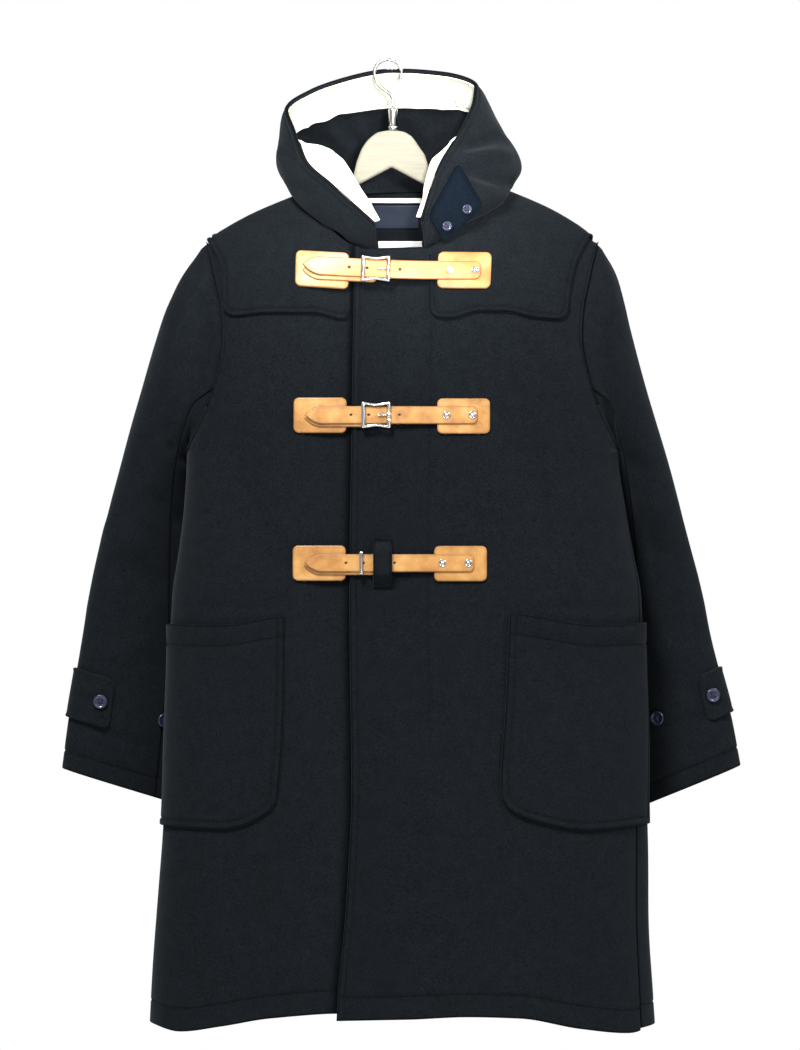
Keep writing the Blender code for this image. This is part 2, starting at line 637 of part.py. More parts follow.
def facing_place(along, part):
    """A place of the facing's outer face: part is 0 beside the rim and 1 at its lower edge."""
    share = facing_share(along)
    lying = hood_point(along, lerp(FACING_ROWS[0], share, part))
    reach = Vector([value(along) for value in facing_reach_at[:3]])
    start = FACING_START / reach.length
    standing = hood_point(along, 0) + reach * lerp(start, 1, part)
    return lying.lerp(standing, min(1.0, max(0.0, facing_reach_at[3](along))))


def facing_normal(along, part):
    step = 0.02
    across = facing_place(min(0.99, along + step), part) - facing_place(max(-0.99, along - step), part)
    below = facing_place(along, min(1, part + step)) - facing_place(along, max(0, part - step))
    return across.cross(below).normalized()


def build_hood():
    for side, sign in (("left", -1), ("right", 1)):
        places = [sign * k / HOOD_COLUMNS for k in range(HOOD_COLUMNS + 1)]
        places[0] = sign * HOOD_CENTRE_GAP
        places.sort()
        grid = [[(hood_point(u, v), hood_normal(u, v)) for u in places] for v in HOOD_ROWS]
        add_wall("hood_" + side, "wool", grid, 0, WALL)
    places = [k / HOOD_COLUMNS for k in range(-HOOD_COLUMNS, HOOD_COLUMNS + 1)]
    places[0], places[-1] = 0.99 * places[0], 0.99 * places[-1]
    grid = [[(facing_place(u, v), facing_normal(u, v)) for u in places] for v in FACING_PARTS]
    add_wall("hood_facing", "facing", grid, -FACING_GAP - FACING_WALL, -FACING_GAP)


def yoke_rows(face, lower):
    """The panel's own rows above the yoke's lower edge, and that edge."""
    rows = [s for s in ARMHOLE_ROWS if s < YOKE_LAST_ROW[face]]
    between = next(s for s in ARMHOLE_ROWS if s > YOKE_LAST_ROW[face])
    return [*rows, min(between, (rows[-1] + lower) / 2), lower]


def build_front_yoke(side):
    panel = PANELS[side]
    numbers = YOKES[side]
    top_places = LEFT_COLUMNS if side == "left" else RIGHT_COLUMNS
    start, outer = panel.column(numbers["start"]), numbers["outer"]
    inner = panel.column(numbers["inner_x"])
    columns = [panel.column(x) for x in top_places]
    columns = [f for f in columns if inner + 0.03 < f < outer - 0.02 and not start - 0.02 < f < start]
    columns = sorted([start, outer, *columns])
    grid = [[] for _ in yoke_rows("front", 0)]
    for f in [None, *columns]:
        first = YOKE_NECK_MARGIN if f is None or f < start else 0.0
        near = inner if f is None else f
        lower = panel.share_down(near, numbers["lower_z"])
        for row, s in zip(grid, yoke_rows("front", lower)):
            s = max(s, first) if s == 0 else max(s, first + s / 5)
            at = f
            if f is None:
                at = panel.share_across(numbers["inner_x"], lerp(panel.top(near), ARMPIT_Z, s))
            row.append((panel.point(at, s) + Vector((0, -GAP, 0)), panel.normal(at, s)))
    add_wall("yoke_front_" + side, "wool", grid, WALL + YOKE_GAP, 2 * WALL + YOKE_GAP)


def build_back_yoke():
    panel = PANELS["back"]
    starts = {side: panel.column(YOKES[side]["start"]) for side in YOKES}
    columns = [panel.column(x) for x in BACK_COLUMNS]
    keep = [f for f in columns if 0.05 < f < 0.95]
    columns = sorted([0.03, 0.97, *starts.values(), *keep])
    grid = [[] for _ in yoke_rows("back", 0)]
    for f in columns:
        first = YOKE_NECK_MARGIN if starts["right"] < f < starts["left"] else 0.0
        for row, s in zip(grid, yoke_rows("back", panel.share_down(f, BACK_YOKE_Z))):
            s = max(s, first) if s == 0 else max(s, first + s / 5)
            row.append((panel.point(f, s) + Vector((0, GAP, 0)), panel.normal(f, s)))
    add_wall("yoke_back", "wool", grid, WALL + YOKE_GAP, 2 * WALL + YOKE_GAP)


def build_pocket(side):
    """A patch pocket that starts on the front, passes the side seam and ends on the back."""
    front, back = PANELS[side], PANELS["back"]
    inner_at = curve_through(POCKETS[side]["inner"])
    top_places = LEFT_COLUMNS if side == "left" else RIGHT_COLUMNS
    shares = [front.column(x) for x in top_places]
    back_shares = [back.column(x) for x in BACK_COLUMNS]
    if side == "left":
        back_shares = back_shares[::-1]
    sites = [(front, f) for f in [0.0, *shares[1:-1], 1.0]]
    sites += [(back, f) for f in back_shares[1 : POCKET_WRAP + 1]]
    inner_z = -0.78
    start = front.share_across(inner_at(inner_z), inner_z)
    sites = [(panel, f) for panel, f in sites if panel is back or f > start + 0.03]
    grid = []
    for k in range(POCKET_ROWS + 1):
        part = k / POCKET_ROWS
        row = []
        for column in range(-1, len(sites)):
            panel, f = sites[column] if column >= 0 else (front, start)
            x = panel.point(f, 1.3).x
            z = lerp(pocket_top_at(x), pocket_bottom_at(x), part)
            if column < 0:
                f = front.share_across(inner_at(z), z)
            s = panel.share_down(f, z)
            lift = POCKET_GAPE * (1 - part) ** 6 * (0.3 if column < 0 or panel is back else 1.0)
            normal = panel.normal(f, s)
            row.append((panel.point(f, s) + normal * lift, normal))
        grid.append(row)
    add_wall("pocket_" + side, "wool", grid, WALL + LAY_GAP, 2 * WALL + LAY_GAP)


def front_place(x, z, lift):
    """A place over the buttoned front at x and z, lifted off the inner face, with the normal there."""
    angle = angle_of(x, z)
    step = 0.5
    place = body_point(angle, z)
    across = body_point(angle + step, z) - body_point(angle - step, z)
    up = body_point(angle, z + 0.002) - body_point(angle, z - 0.002)
    normal = across.cross(up).normalized()
    return place + normal * lift, normal


def facing_matrix(place, normal):
    """A frame at place whose Z is the normal and whose X lies level."""
    level = Vector((0, 0, 1)).cross(normal).normalized()
    return Matrix.Translation(place) @ Matrix((level, normal.cross(level), normal)).transposed().to_4x4()


def rounded_outline(width, height, corner, steps=3):
    points = []
    for quarter, (sx, sy) in enumerate(((1, 1), (-1, 1), (-1, -1), (1, -1))):
        for k in range(steps + 1):
            a = math.pi / 2 * (quarter + k / steps)
            points.append((
                sx * (width / 2 - corner) + corner * math.cos(a),
                sy * (height / 2 - corner) + corner * math.sin(a),
            ))
    return points


def add_plate(name, material, outline, thick, matrix):
    """A flat plate over an outline in the matrix's XY plane, with its lower face on that plane."""
    curve = bpy.data.curves.new(name, "CURVE")
    curve.dimensions = "2D"
    curve.fill_mode = "BOTH"
    curve.extrude = thick / 2
    spline = curve.splines.new("POLY")
    spline.points.add(len(outline) - 1)
    spline.use_cyclic_u = True
    for point, (x, y) in zip(spline.points, outline):
        point.co = (x, y, 0, 1)
    piece = add_object(name, curve, material)
    piece.matrix_world = matrix @ Matrix.Translation((0, 0, thick / 2))
    return piece


def add_wire(name, material, places, radius, closed=False):
    curve = bpy.data.curves.new(name, "CURVE")
    curve.dimensions = "3D"
    curve.bevel_depth = radius
    curve.bevel_resolution = 2
    curve.use_fill_caps = True
    spline = curve.splines.new("POLY")
    spline.points.add(len(places) - 1)
    spline.use_cyclic_u = closed
    for point, place in zip(spline.points, places):
        point.co = (*place, 1)
    return add_object(name, curve, material)


def add_disc(name, material, place, normal, radius, thick, sides=20):
    """A round button or rivet that stands on a surface."""
    bm = bmesh.new()
    bmesh.ops.create_cone(bm, cap_ends=True, segments=sides, radius1=radius, radius2=0.85 * radius, depth=thick)
    piece = add_mesh(name, bm, material)
    piece.matrix_world = facing_matrix(place + normal * thick / 2, normal)
    return piece


def surface_grid(xs, offsets, z, lift):
    """A grid over the front at height z, for columns xs and rows offset from z; lift may depend on x."""
    return [[front_place(x, z + offset, lift(x)) for offset in offsets] for x in xs]


def build_patch(name, x, z, lift):
    """A leather patch with its corners cut back, over the front."""
    half_width, half_height = PATCH_SIZE[0] / 2, PATCH_SIZE[1] / 2
    corner_x, corner_z = half_width - PATCH_CORNER, half_height - PATCH_CORNER
    across = (-half_width, -corner_x, -corner_x / 2, 0, corner_x / 2, corner_x, half_width)
    down = (-half_height, -corner_z, 0, corner_z, half_height)
    grid = []
    for i, dx in enumerate(across):
        row = []
        for j, dz in enumerate(down):
            shrink = PATCH_CORNER * 0.3 if i in (0, len(across) - 1) and j in (0, len(down) - 1) else 0
            row.append(front_place(x + dx - math.copysign(shrink, dx), z + dz - math.copysign(shrink, dz), lift))
        grid.append(row)
    add_wall(name, "leather", grid, 0, PATCH_WALL)


def build_strap(name, x_from, x_to, z, lift):
    """A strap over the front with a pointed tip at x_from."""
    xs = [x_from] + [lerp(x_from + STRAP_TIP, x_to, k / STRAP_STEPS) for k in range(STRAP_STEPS + 1)]
    half = STRAP_WIDTH / 2
    grid = surface_grid(xs, (-half, 0, half), z, lift)
    grid[0] = surface_grid(xs[:1], (-0.3 * half, 0, 0.3 * half), z, lift)[0]
    add_wall(name, "leather", grid, 0, STRAP_WALL)


def build_fastening(numbers):
    tag, z = numbers["name"], numbers["z"]
    base = WALL + LAY_GAP + (WALL + YOKE_GAP + GAP if numbers["yoke"] else 0)
    for side in ("left", "right"):
        x, patch_z = numbers[side]
        build_patch(f"patch_{tag}_{side}", x, patch_z, base)
    over_patch = base + PATCH_WALL + LAY_GAP
    over_short = over_patch + STRAP_WALL + LAY_GAP
    build_strap(f"strap_{tag}_short", numbers["tip"] + 0.002, SHORT_STRAP_END, z, lambda x: over_patch)
    build_strap(
        f"strap_{tag}_long",
        numbers["tip"],
        numbers["end"],
        z,
        lambda x: lerp(over_short, over_patch, smooth_step(*STRAP_FALL, x)),
    )
    place, normal = front_place(BUCKLE_X, z, over_short + STRAP_WALL + BUCKLE_WIRE + LAY_GAP)
    frame = facing_matrix(place, normal)
    outline = rounded_outline(BUCKLE_SIZE[0] - 2 * BUCKLE_WIRE, BUCKLE_SIZE[1] - 2 * BUCKLE_WIRE, 0.004, 2)
    ring = [frame @ Vector((x, y, 0)) for x, y in outline]
    add_wire(f"buckle_{tag}_frame", "metal", ring, BUCKLE_WIRE, closed=True)
    reach = BUCKLE_SIZE[0] / 2 - 3 * BUCKLE_WIRE - LAY_GAP
    prong = [frame @ Vector((x, 0, -BUCKLE_WIRE + 0.0013)) for x in (-0.25 * reach, reach)]
    add_wire(f"buckle_{tag}_prong", "metal", prong, 0.0012)
    for count, offset in enumerate(RIVET_OFFSETS, 1):
        place, normal = front_place(numbers["right"][0] + offset, z, over_patch + STRAP_WALL + LAY_GAP)
        add_disc(f"rivet_{tag}_{count}", "metal", place, normal, RIVET_RADIUS, 0.0022, 14)
    return over_short + STRAP_WALL + 2 * BUCKLE_WIRE + 2 * LAY_GAP


def build_keeper(z, lift):
    """The cloth loop that lies over the lowest buckle, with its ends down on the front."""
    half = KEEPER["height"] / 2
    low = WALL + LAY_GAP
    profile = ((-half, low), (-half + 0.006, low), (-half + 0.0125, lift), (half - 0.0125, lift), (half - 0.006, low), (half, low))
    grid = []
    for offset, height in profile:
        row = []
        for x in (KEEPER["x"] - KEEPER["width"] / 2, KEEPER["x"], KEEPER["x"] + KEEPER["width"] / 2):
            row.append(front_place(x, z + offset, height))
        grid.append(row)
    add_wall("keeper_loop", "wool", grid, 0, KEEPER["wall"])


def build_tab():
    """The throat tab: a thick four-cornered flap that lies over the hood's right front end and the right front."""
    depsgraph = bpy.context.evaluated_depsgraph_get()
    under = [BVHTree.FromObject(parts.objects[name], depsgraph) for name in ("hood_right", "front_right", "yoke_front_right")]

    def lying(x, z):
        """The nearest place to the viewer at x and z on what the tab lies on."""
        hits = [tree.ray_cast(Vector((x, -1, z)), Vector((0, 1, 0)))[0] for tree in under]
        return min((hit.y for hit in hits if hit), default=None)

    steps = TAB_STEPS
    top, right, bottom, left = (Vector((x, 0, z)) for x, z in TAB_CORNERS)
    flat = [
        [top.lerp(right, j / steps).lerp(left.lerp(bottom, j / steps), i / steps) for j in range(steps + 1)]
        for i in range(steps + 1)
    ]
    for row in flat:
        for place in row:
            place.y = lying(place.x, place.z)
    for _ in range(TAB_SMOOTHING):
        flat = [[smoothed(flat, i, j) for j in range(steps + 1)] for i in range(steps + 1)]
    rise = max(place.y - lying(place.x, place.z) for row in flat for place in row)
    normal = (flat[0][steps] - flat[steps][0]).cross(flat[0][0] - flat[steps][steps]).normalized()
    grid = [[(place + Vector((0, -rise - TAB_GAP, 0)), normal) for place in row] for row in flat]
    add_wall("throat_tab", "tab_cloth", grid, 0, TAB_WALL)
    tab = BVHTree.FromObject(parts.objects["throat_tab"], bpy.context.evaluated_depsgraph_get())
    for count, (x, z) in enumerate(TAB_BUTTONS, 1):
        place = tab.ray_cast(Vector((x, -1, z)), Vector((0, 1, 0)))[0] + normal * TAB_GAP
        add_disc(f"tab_button_{count}", "button", place, normal, TAB_BUTTON_RADIUS, 0.0022, 14)


def smoothed(grid, i, j):
    """A grid's place with its y drawn towards its neighbours'."""
    near = [grid[a][b].y for a, b in ((i - 1, j), (i + 1, j), (i, j - 1), (i, j + 1)) if 0 <= a < len(grid) and 0 <= b < len(grid)]
    place = grid[i][j].copy()
    place.y = (place.y + sum(near) / len(near)) / 2
    return place


def build_cuff(side):
    """The cuff strap round the sleeve's outer line, and two buttons: one on the strap, one further in."""
    angles = ring_angles()
    picks = [angles[-k] - 2 * math.pi for k in range(CUFF_STRAP_ANGLES - 1, 0, -1)]
    picks += angles[: CUFF_STRAP_ANGLES + 1]
    grid = [[(sleeve_point(side, r, a), sleeve_normal(side, r, a)) for a in picks] for r in CUFF_STRAP_ROWS]
    add_wall("cuff_strap_" + side, "wool", grid, LAY_GAP, WALL + LAY_GAP)
    mid_row = CUFF_STRAP_ROWS[1]
    for count, angle, lift in ((1, angles[3], WALL + 2 * LAY_GAP), (2, math.radians(115), LAY_GAP)):
        normal = sleeve_normal(side, mid_row, angle)
        place = sleeve_point(side, mid_row, angle) + normal * lift
        add_disc(f"cuff_button_{side}_{count}", "button", place, normal, BUTTON_RADIUS, BUTTON_THICK)


def add_inside_strip(name, material, numbers):
    """A strip on the inner face of the back, with a column wherever the back has one."""
    panel = PANELS["back"]
    low, high = numbers["x"]
    places = [low, *sorted(x for x in BACK_COLUMNS if low < x < high), high]
    grid = []
    for z in numbers["z"]:
        row = []
        for x in places:
            f = panel.column(x)
            s = panel.share_down(f, z)
            row.append((panel.point(f, s), panel.normal(f, s)))
        grid.append(row)
    add_wall(name, material, grid, -STRIP_GAP - LABEL_WALL, -STRIP_GAP)


def build_hanger():
    crown_left, crown_right = CROWN[0][0], CROWN[-1][0]
    tops = []
    for k in range(ARM_STEPS):
        x = lerp(ARM_REACH[0], crown_left, k / ARM_STEPS)
        tops.append((x, shoulder_at(x) - ARM_CLEARANCE * (1 + max(0.0, 1 - abs(x) / 0.1))))
    tops += CROWN
    for k in range(ARM_STEPS, 0, -1):
        x = lerp(crown_right, ARM_REACH[1], (ARM_STEPS - k + 1) / ARM_STEPS)
        tops.append((x, shoulder_at(x) - ARM_CLEARANCE))
    bottoms = []
    for x, z in reversed(tops):
        reach = abs(x - NOTCH[0]) / ARM_REACH[1]
        low = NOTCH[1] - abs(x - NOTCH[0]) * 0.53
        bottoms.append((x, min(z - 0.018, low)) if reach < 0.35 else (x, z - lerp(*ARM_HEIGHT[::-1], reach)))
    outline = [tops[0]] + [p for p in tops[1:]] + bottoms
    turn = Matrix.Rotation(math.pi / 2, 4, "X")
    matrix = Matrix.Translation((0, BOARD_THICK / 2, 0)) @ turn
    add_plate("hanger_board", "wood", outline, BOARD_THICK, matrix)
    length = FERRULE["z"][0] - FERRULE["z"][1]
    bm = bmesh.new()
    bmesh.ops.create_cone(bm, cap_ends=True, segments=20, radius1=FERRULE["radius"], radius2=FERRULE["radius"], depth=length)
    ferrule = add_mesh("hanger_ferrule", bm, "metal")
    ferrule.location = (FERRULE["x"], 0, FERRULE["z"][1] + length / 2)
    middle = Vector((-0.0026, 0, WIRE_RADIUS - HOOK_RADIUS + 0.0002))
    wire = []
    steps = 16
    for k in range(steps + 1):
        a = math.radians(lerp(*HOOK_ROUND, k / steps))
        wire.append(middle + HOOK_RADIUS * Vector((math.cos(a), 0, math.sin(a))))
    wire += [Vector((-0.0135, 0, -0.0290)), Vector((-0.0060, 0, -0.0350)), Vector((0.0010, 0, -0.0410))]
    wire += [Vector((0.0036, 0, -0.0475)), Vector((0.0036, 0, FERRULE["z"][0] + GAP))]
    add_wire("hanger_hook", "metal", wire, WIRE_RADIUS)


def build_all():
    build_hanger()
    build_body()
    for side in ("left", "right"):
        build_sleeve(side)
        build_front_yoke(side)
        build_pocket(side)
        build_cuff(side)
    build_back_yoke()
    build_hood()
    build_tab()
    for numbers in FASTENINGS:
        top = build_fastening(numbers)
    build_keeper(FASTENINGS[-1]["z"], top)
    add_inside_strip("neck_tape", "facing", TAPE)
    add_inside_strip("neck_label", "tab_cloth", LABEL)
    add_inside_strip("size_tag", "label", TAG)


for old in list(bpy.data.objects):
    bpy.data.objects.remove(old, do_unlink=True)
parts = bpy.data.collections.new(COAT)
bpy.context.scene.collection.children.link(parts)
materials = {name: new_material(name) for name in COLORS}
build_all()
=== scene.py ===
"""The looks of the wool duffle coat on its wooden hanger.

The cloth's surface comes from the same sizes as the CAD part: a flattened tube for the body, sleeves
through rows of sections, and a hood of curves from its rim to the neckline. Each cloth piece is a thin
closed wall over a fine grid of that surface, with its creases, rolled edges and stitched lines in the
mesh. Metres, +Z up, +X to the viewer's right, +Y away from the viewer; the origin is inside the top of
the hanger's hook.
"""

import math
from bisect import bisect_right

import bmesh
import bpy
import numpy as np
from mathutils import Matrix, Vector, noise
from mathutils.bvhtree import BVHTree


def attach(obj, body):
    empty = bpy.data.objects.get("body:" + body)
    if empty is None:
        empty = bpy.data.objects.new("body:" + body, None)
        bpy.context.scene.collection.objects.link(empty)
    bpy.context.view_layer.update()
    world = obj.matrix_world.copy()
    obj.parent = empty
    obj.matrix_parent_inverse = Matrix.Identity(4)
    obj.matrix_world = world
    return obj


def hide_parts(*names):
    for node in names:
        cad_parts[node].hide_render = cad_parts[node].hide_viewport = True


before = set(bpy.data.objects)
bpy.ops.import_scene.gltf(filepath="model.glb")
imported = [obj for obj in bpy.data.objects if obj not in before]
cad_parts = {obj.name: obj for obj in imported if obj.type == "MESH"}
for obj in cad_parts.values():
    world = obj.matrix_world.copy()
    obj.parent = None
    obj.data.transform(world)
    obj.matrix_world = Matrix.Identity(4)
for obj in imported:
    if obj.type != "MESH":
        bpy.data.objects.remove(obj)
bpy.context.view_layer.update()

# Thicknesses
WALL = 0.003
LAY_GAP = 0.0006
FACING_WALL = 0.0015
FACING_GAP = 0.0012
PATCH_WALL = 0.0024
STRAP_WALL = 0.0020
LABEL_WALL = 0.0010
STRIP_GAP = 0.0009
STRIP_STEPS = (20, 3)  # its even steps across, and the fewest down
STRIP_STEP = 0.002
STRIP_STITCH = 0.001
STRIP_EDGE = 0.3  # a strip's edge is rolled this share as far as the wool's
STRIP_RIPPLE = (0.015, 0.0004)  # its size and its depth
STRIP_BULGE = 0.0002  # how far the rim of a strip's wall is rounded out
THIN_BULGE = 0.0003
WOOL_BULGE = 0.0005
LEATHER_BULGE = 0.0004

# The body tube: its section is a flattened superellipse, deeper in front than behind.
SQUARENESS = 2.6
SHOULDER_ROLL = 0.14  # the drop below the shoulder line over which the cloth comes forward
ROLL_POWER = 0.75
ARMPIT_Z = -0.469
#             z      centre  half_width  front   back   middle_y
SECTIONS = (
    (-0.150, 0.0145, 0.2570, 0.0750, 0.0620, 0.000),
    (-0.250, 0.0145, 0.2570, 0.0790, 0.0640, 0.000),
    (-0.350, 0.0148, 0.2560, 0.0840, 0.0680, -0.006),
    (-0.481, 0.0155, 0.2572, 0.0860, 0.0720, -0.010),
    (-0.540, 0.0178, 0.2628, 0.0870, 0.0740, -0.010),
    (-0.592, 0.0195, 0.2705, 0.0880, 0.0750, -0.010),
    (-0.642, 0.0205, 0.2785, 0.0890, 0.0760, -0.010),
    (-0.768, 0.0193, 0.2840, 0.0920, 0.0800, -0.008),
    (-0.923, 0.0182, 0.2885, 0.0960, 0.0860, -0.006),
    (-1.074, 0.0140, 0.2960, 0.1000, 0.0910, -0.002),
    (-1.170, 0.0150, 0.3015, 0.1030, 0.0950, 0.000),
)
# Edges of the panels, as (x, z)
SHOULDER_LINE = (
    (-0.300, -0.2640),
    (-0.2225, -0.2218),
    (-0.168, -0.1912),
    (-0.1056, -0.1645),
    (-0.050, -0.140),
    (0.012, -0.124),
    (0.070, -0.134),
    (0.128, -0.156),
    (0.1872, -0.1808),
    (0.2208, -0.2004),
    (0.245, -0.2186),
    (0.330, -0.268),
)
NECK_SIDE = {"left": -0.1056, "right": 0.128}
FRONT_NECK = (
    (-0.1056, -0.1645),
    (-0.0762, -0.198),
    (-0.0456, -0.2225),
    (0.012, -0.2375),
    (0.042, -0.2265),
    (0.075, -0.206),
    (0.105, -0.186),
    (0.128, -0.156),
)
BACK_NECK = ((-0.1056, -0.1645), (-0.060, -0.1625), (0.012, -0.1585), (0.085, -0.157), (0.128, -0.156))
LEFT_HEM = (
    (-0.2870, -1.155), (-0.2520, -1.1640), (-0.2016, -1.157), (-0.144, -1.147), (-0.060, -1.141),
    (0.05, -1.141),
)
RIGHT_HEM = (
    (-0.0636, -1.1496), (0.020, -1.148), (0.091, -1.145), (0.156, -1.147), (0.228, -1.160), (0.2856, -1.166),
    (0.318, -1.157),
)
BACK_HEM = (
    (-0.287, -1.155), (-0.252, -1.160), (-0.10, -1.150), (0.02, -1.148), (0.13, -1.150), (0.2856, -1.162),
    (0.318, -1.157),
)
# The right front's free edge, as (z, x)
CLOSING_EDGE = (
    (-1.160, -0.0642), (-1.110, -0.0612), (-1.038, -0.0540), (-0.966, -0.0492), (-0.876, -0.0456),
    (-0.646, -0.0480), (-0.447, -0.0456), (-0.230, -0.0420),
)
UNDERLAP_X = 0.020  # how far the left front runs on under the right front
UNDERLAP_DEPTH = WALL + 2 * LAY_GAP
UNDERLAP_STEP = (-0.108, -0.070)
# The armhole's share of the half width, by the share of the way from the shoulder to the armpit
ARMHOLE = (
    (0.0, 0.905), (0.15, 0.872), (0.33, 0.836), (0.45, 0.830), (0.60, 0.853), (0.78, 0.905),
    (0.92, 0.965), (1.0, 1.0),
)
# The side seams' angle round the body from the front's middle, by height
SIDE_SEAM = {
    "left": ((-1.17, 98.0), (-0.77, 97.0), (-0.469, 90.0)),
    "right": ((-1.17, 68.0), (-0.93, 70.0), (-0.77, 76.0), (-0.469, 90.0)),
}
# Steps over which the surfaces' directions are measured: shares, shares of the neck, degrees and metres
PANEL_STEP = 0.004
NECK_STEP = 0.04
FRONT_STEPS = (0.5, 0.002)
TOP_Z = -0.2  # the height at which the columns' places at the top edge are measured
HEM_Z = -1.15  # and at the hem
FRONT_WIDTH = 0.30  # the rough widths of a front and of the back
BACK_WIDTH = 0.58
LEVEL_REACH = 0.006  # how far from the shoulder seam the front and the back are turned level

# Sleeves: the outer and inner line of the flattened tube's outer face, row by row, and its half depth there
SLEEVE_SQUARENESS = 2.3
ARMPIT_TURN = (0.6, 1.0, 0.5)  # from and to where down the armhole the seam's wall turns down, and how far
SLEEVE_SEAM_SHARE = 0.70  # how far down the armhole the under sleeve takes over
HEAD_RISE = 0.0012  # the sleeve head's swelling beside the armhole
HEAD_PLACE = 0.010
HEAD_REACH = 0.007
SLEEVE_START = 0.0006
ARMHOLE_CALM = 0.02  # the width beside the armhole in which the folds fade
SEAM_CALM = 0.012
#     outer_x outer_y outer_z  inner_x inner_y inner_z  half_depth belly
SLEEVES = {
    "left": (
        (-0.2535, 0.000, -0.2650, -0.2442, 0.010, -0.4722, 0.066, 0.012),
        (-0.2790, 0.000, -0.3300, -0.2400, 0.026, -0.4830, 0.071, 0.005),
        (-0.3015, 0.002, -0.4032, -0.2370, 0.040, -0.5000, 0.068, 0.0),
        (-0.3235, 0.008, -0.4812, -0.2370, 0.054, -0.5300, 0.058, 0.0),
        (-0.3465, 0.020, -0.5688, -0.2340, 0.072, -0.6040, 0.052, 0.0),
        (-0.3605, 0.029, -0.6288, -0.2300, 0.079, -0.6720, 0.049, 0.0),
        (-0.3730, 0.036, -0.7020, -0.2290, 0.086, -0.7480, 0.045, 0.0),
        (-0.3890, 0.038, -0.7968, -0.2350, 0.088, -0.8430, 0.041, 0.0),
        (-0.3955, 0.038, -0.8515, -0.2410, 0.088, -0.9000, 0.037, 0.0),
    ),
    "right": (
        (0.2725, 0.000, -0.2600, 0.2752, 0.010, -0.4722, 0.066, 0.012),
        (0.2890, 0.000, -0.3240, 0.2705, 0.026, -0.4830, 0.071, 0.005),
        (0.3075, 0.002, -0.3900, 0.2685, 0.040, -0.5000, 0.068, 0.0),
        (0.3330, 0.008, -0.4776, 0.2700, 0.056, -0.5300, 0.058, 0.0),
        (0.3570, 0.020, -0.5652, 0.2720, 0.074, -0.6040, 0.052, 0.0),
        (0.3715, 0.029, -0.6204, 0.2690, 0.082, -0.6700, 0.049, 0.0),
        (0.3880, 0.036, -0.6960, 0.2670, 0.088, -0.7440, 0.045, 0.0),
        (0.4105, 0.038, -0.7824, 0.2690, 0.089, -0.8440, 0.041, 0.0),
        (0.4228, 0.038, -0.8480, 0.2730, 0.089, -0.9100, 0.037, 0.0),
    ),
}

# Hood: each row is a curve from the rim to the neck seam, pulled out at both ends. along runs round the rim.
#     along   rim_x    rim_y    rim_z     pull_x  pull_y  pull_z   neck_px neck_py neck_pz
HOOD = (
    (-1.00, -0.0168, -0.0900, -0.1992, 0.000, 0.000, -0.008, 0.000, -0.004, 0.008),
    (-0.75, -0.0708, -0.0680, -0.1500, -0.010, 0.004, -0.018, -0.014, -0.010, 0.020),
    (-0.60, -0.1000, -0.0460, -0.1224, -0.023, 0.012, -0.016, -0.040, -0.004, 0.018),
    (-0.50, -0.1135, -0.0280, -0.0840, -0.024, 0.022, -0.016, -0.038, 0.004, 0.028),
    (-0.40, -0.1220, -0.0100, -0.0600, -0.020, 0.032, -0.012, -0.030, 0.050, 0.014),
    (-0.22, -0.0936, 0.0070, -0.0360, -0.012, 0.050, -0.016, -0.024, 0.120, -0.050),
    (0.00, 0.0024, 0.0120, -0.0110, 0.000, 0.056, -0.018, 0.000, 0.140, -0.080),
    (0.22, 0.0640, 0.0100, -0.0150, 0.010, 0.052, -0.018, 0.024, 0.120, -0.055),
    (0.40, 0.1010, 0.0010, -0.0300, 0.026, 0.034, -0.016, 0.036, 0.055, 0.010),
    (0.50, 0.0990, -0.0120, -0.0480, 0.030, 0.020, -0.034, 0.060, 0.004, 0.014),
    (0.60, 0.0860, -0.0340, -0.0804, 0.036, 0.006, -0.024, 0.060, -0.008, 0.010),
    (0.78, 0.0580, -0.0620, -0.1310, 0.018, -0.008, -0.016, 0.022, -0.014, 0.020),
    (1.00, 0.0372, -0.0890, -0.1940, 0.000, 0.000, -0.006, 0.000, -0.004, 0.006),
)
HOOD_CENTRE = 0.0002
HOOD_SEAM = 0.0010
HOOD_ROWS = 56
NECK_REACH = 0.006  # how far from the neck seam the hood's wall turns to meet it
HOOD_TUCK = (-0.075, -0.046)
HOOD_TUCK_RISE = 0.0035
NECK_SIDE_RISE = 0.0038  # the hood's edge rises over the corners at the neck's sides
NECK_SIDE_REACH = 0.2
FRONT_NECK_END = {"left": -0.016, "right": 0.0405}
# The facing's width along the rim where it lies in the hood
FACING_WIDTHS = (
    (-1.0, 0.006), (-0.55, 0.006), (-0.50, 0.026), (-0.44, 0.046), (-0.36, 0.054), (-0.22, 0.053),
    (0.0, 0.060), (0.25, 0.056), (0.42, 0.050), (0.50, 0.030), (0.55, 0.006), (1.0, 0.006),
)
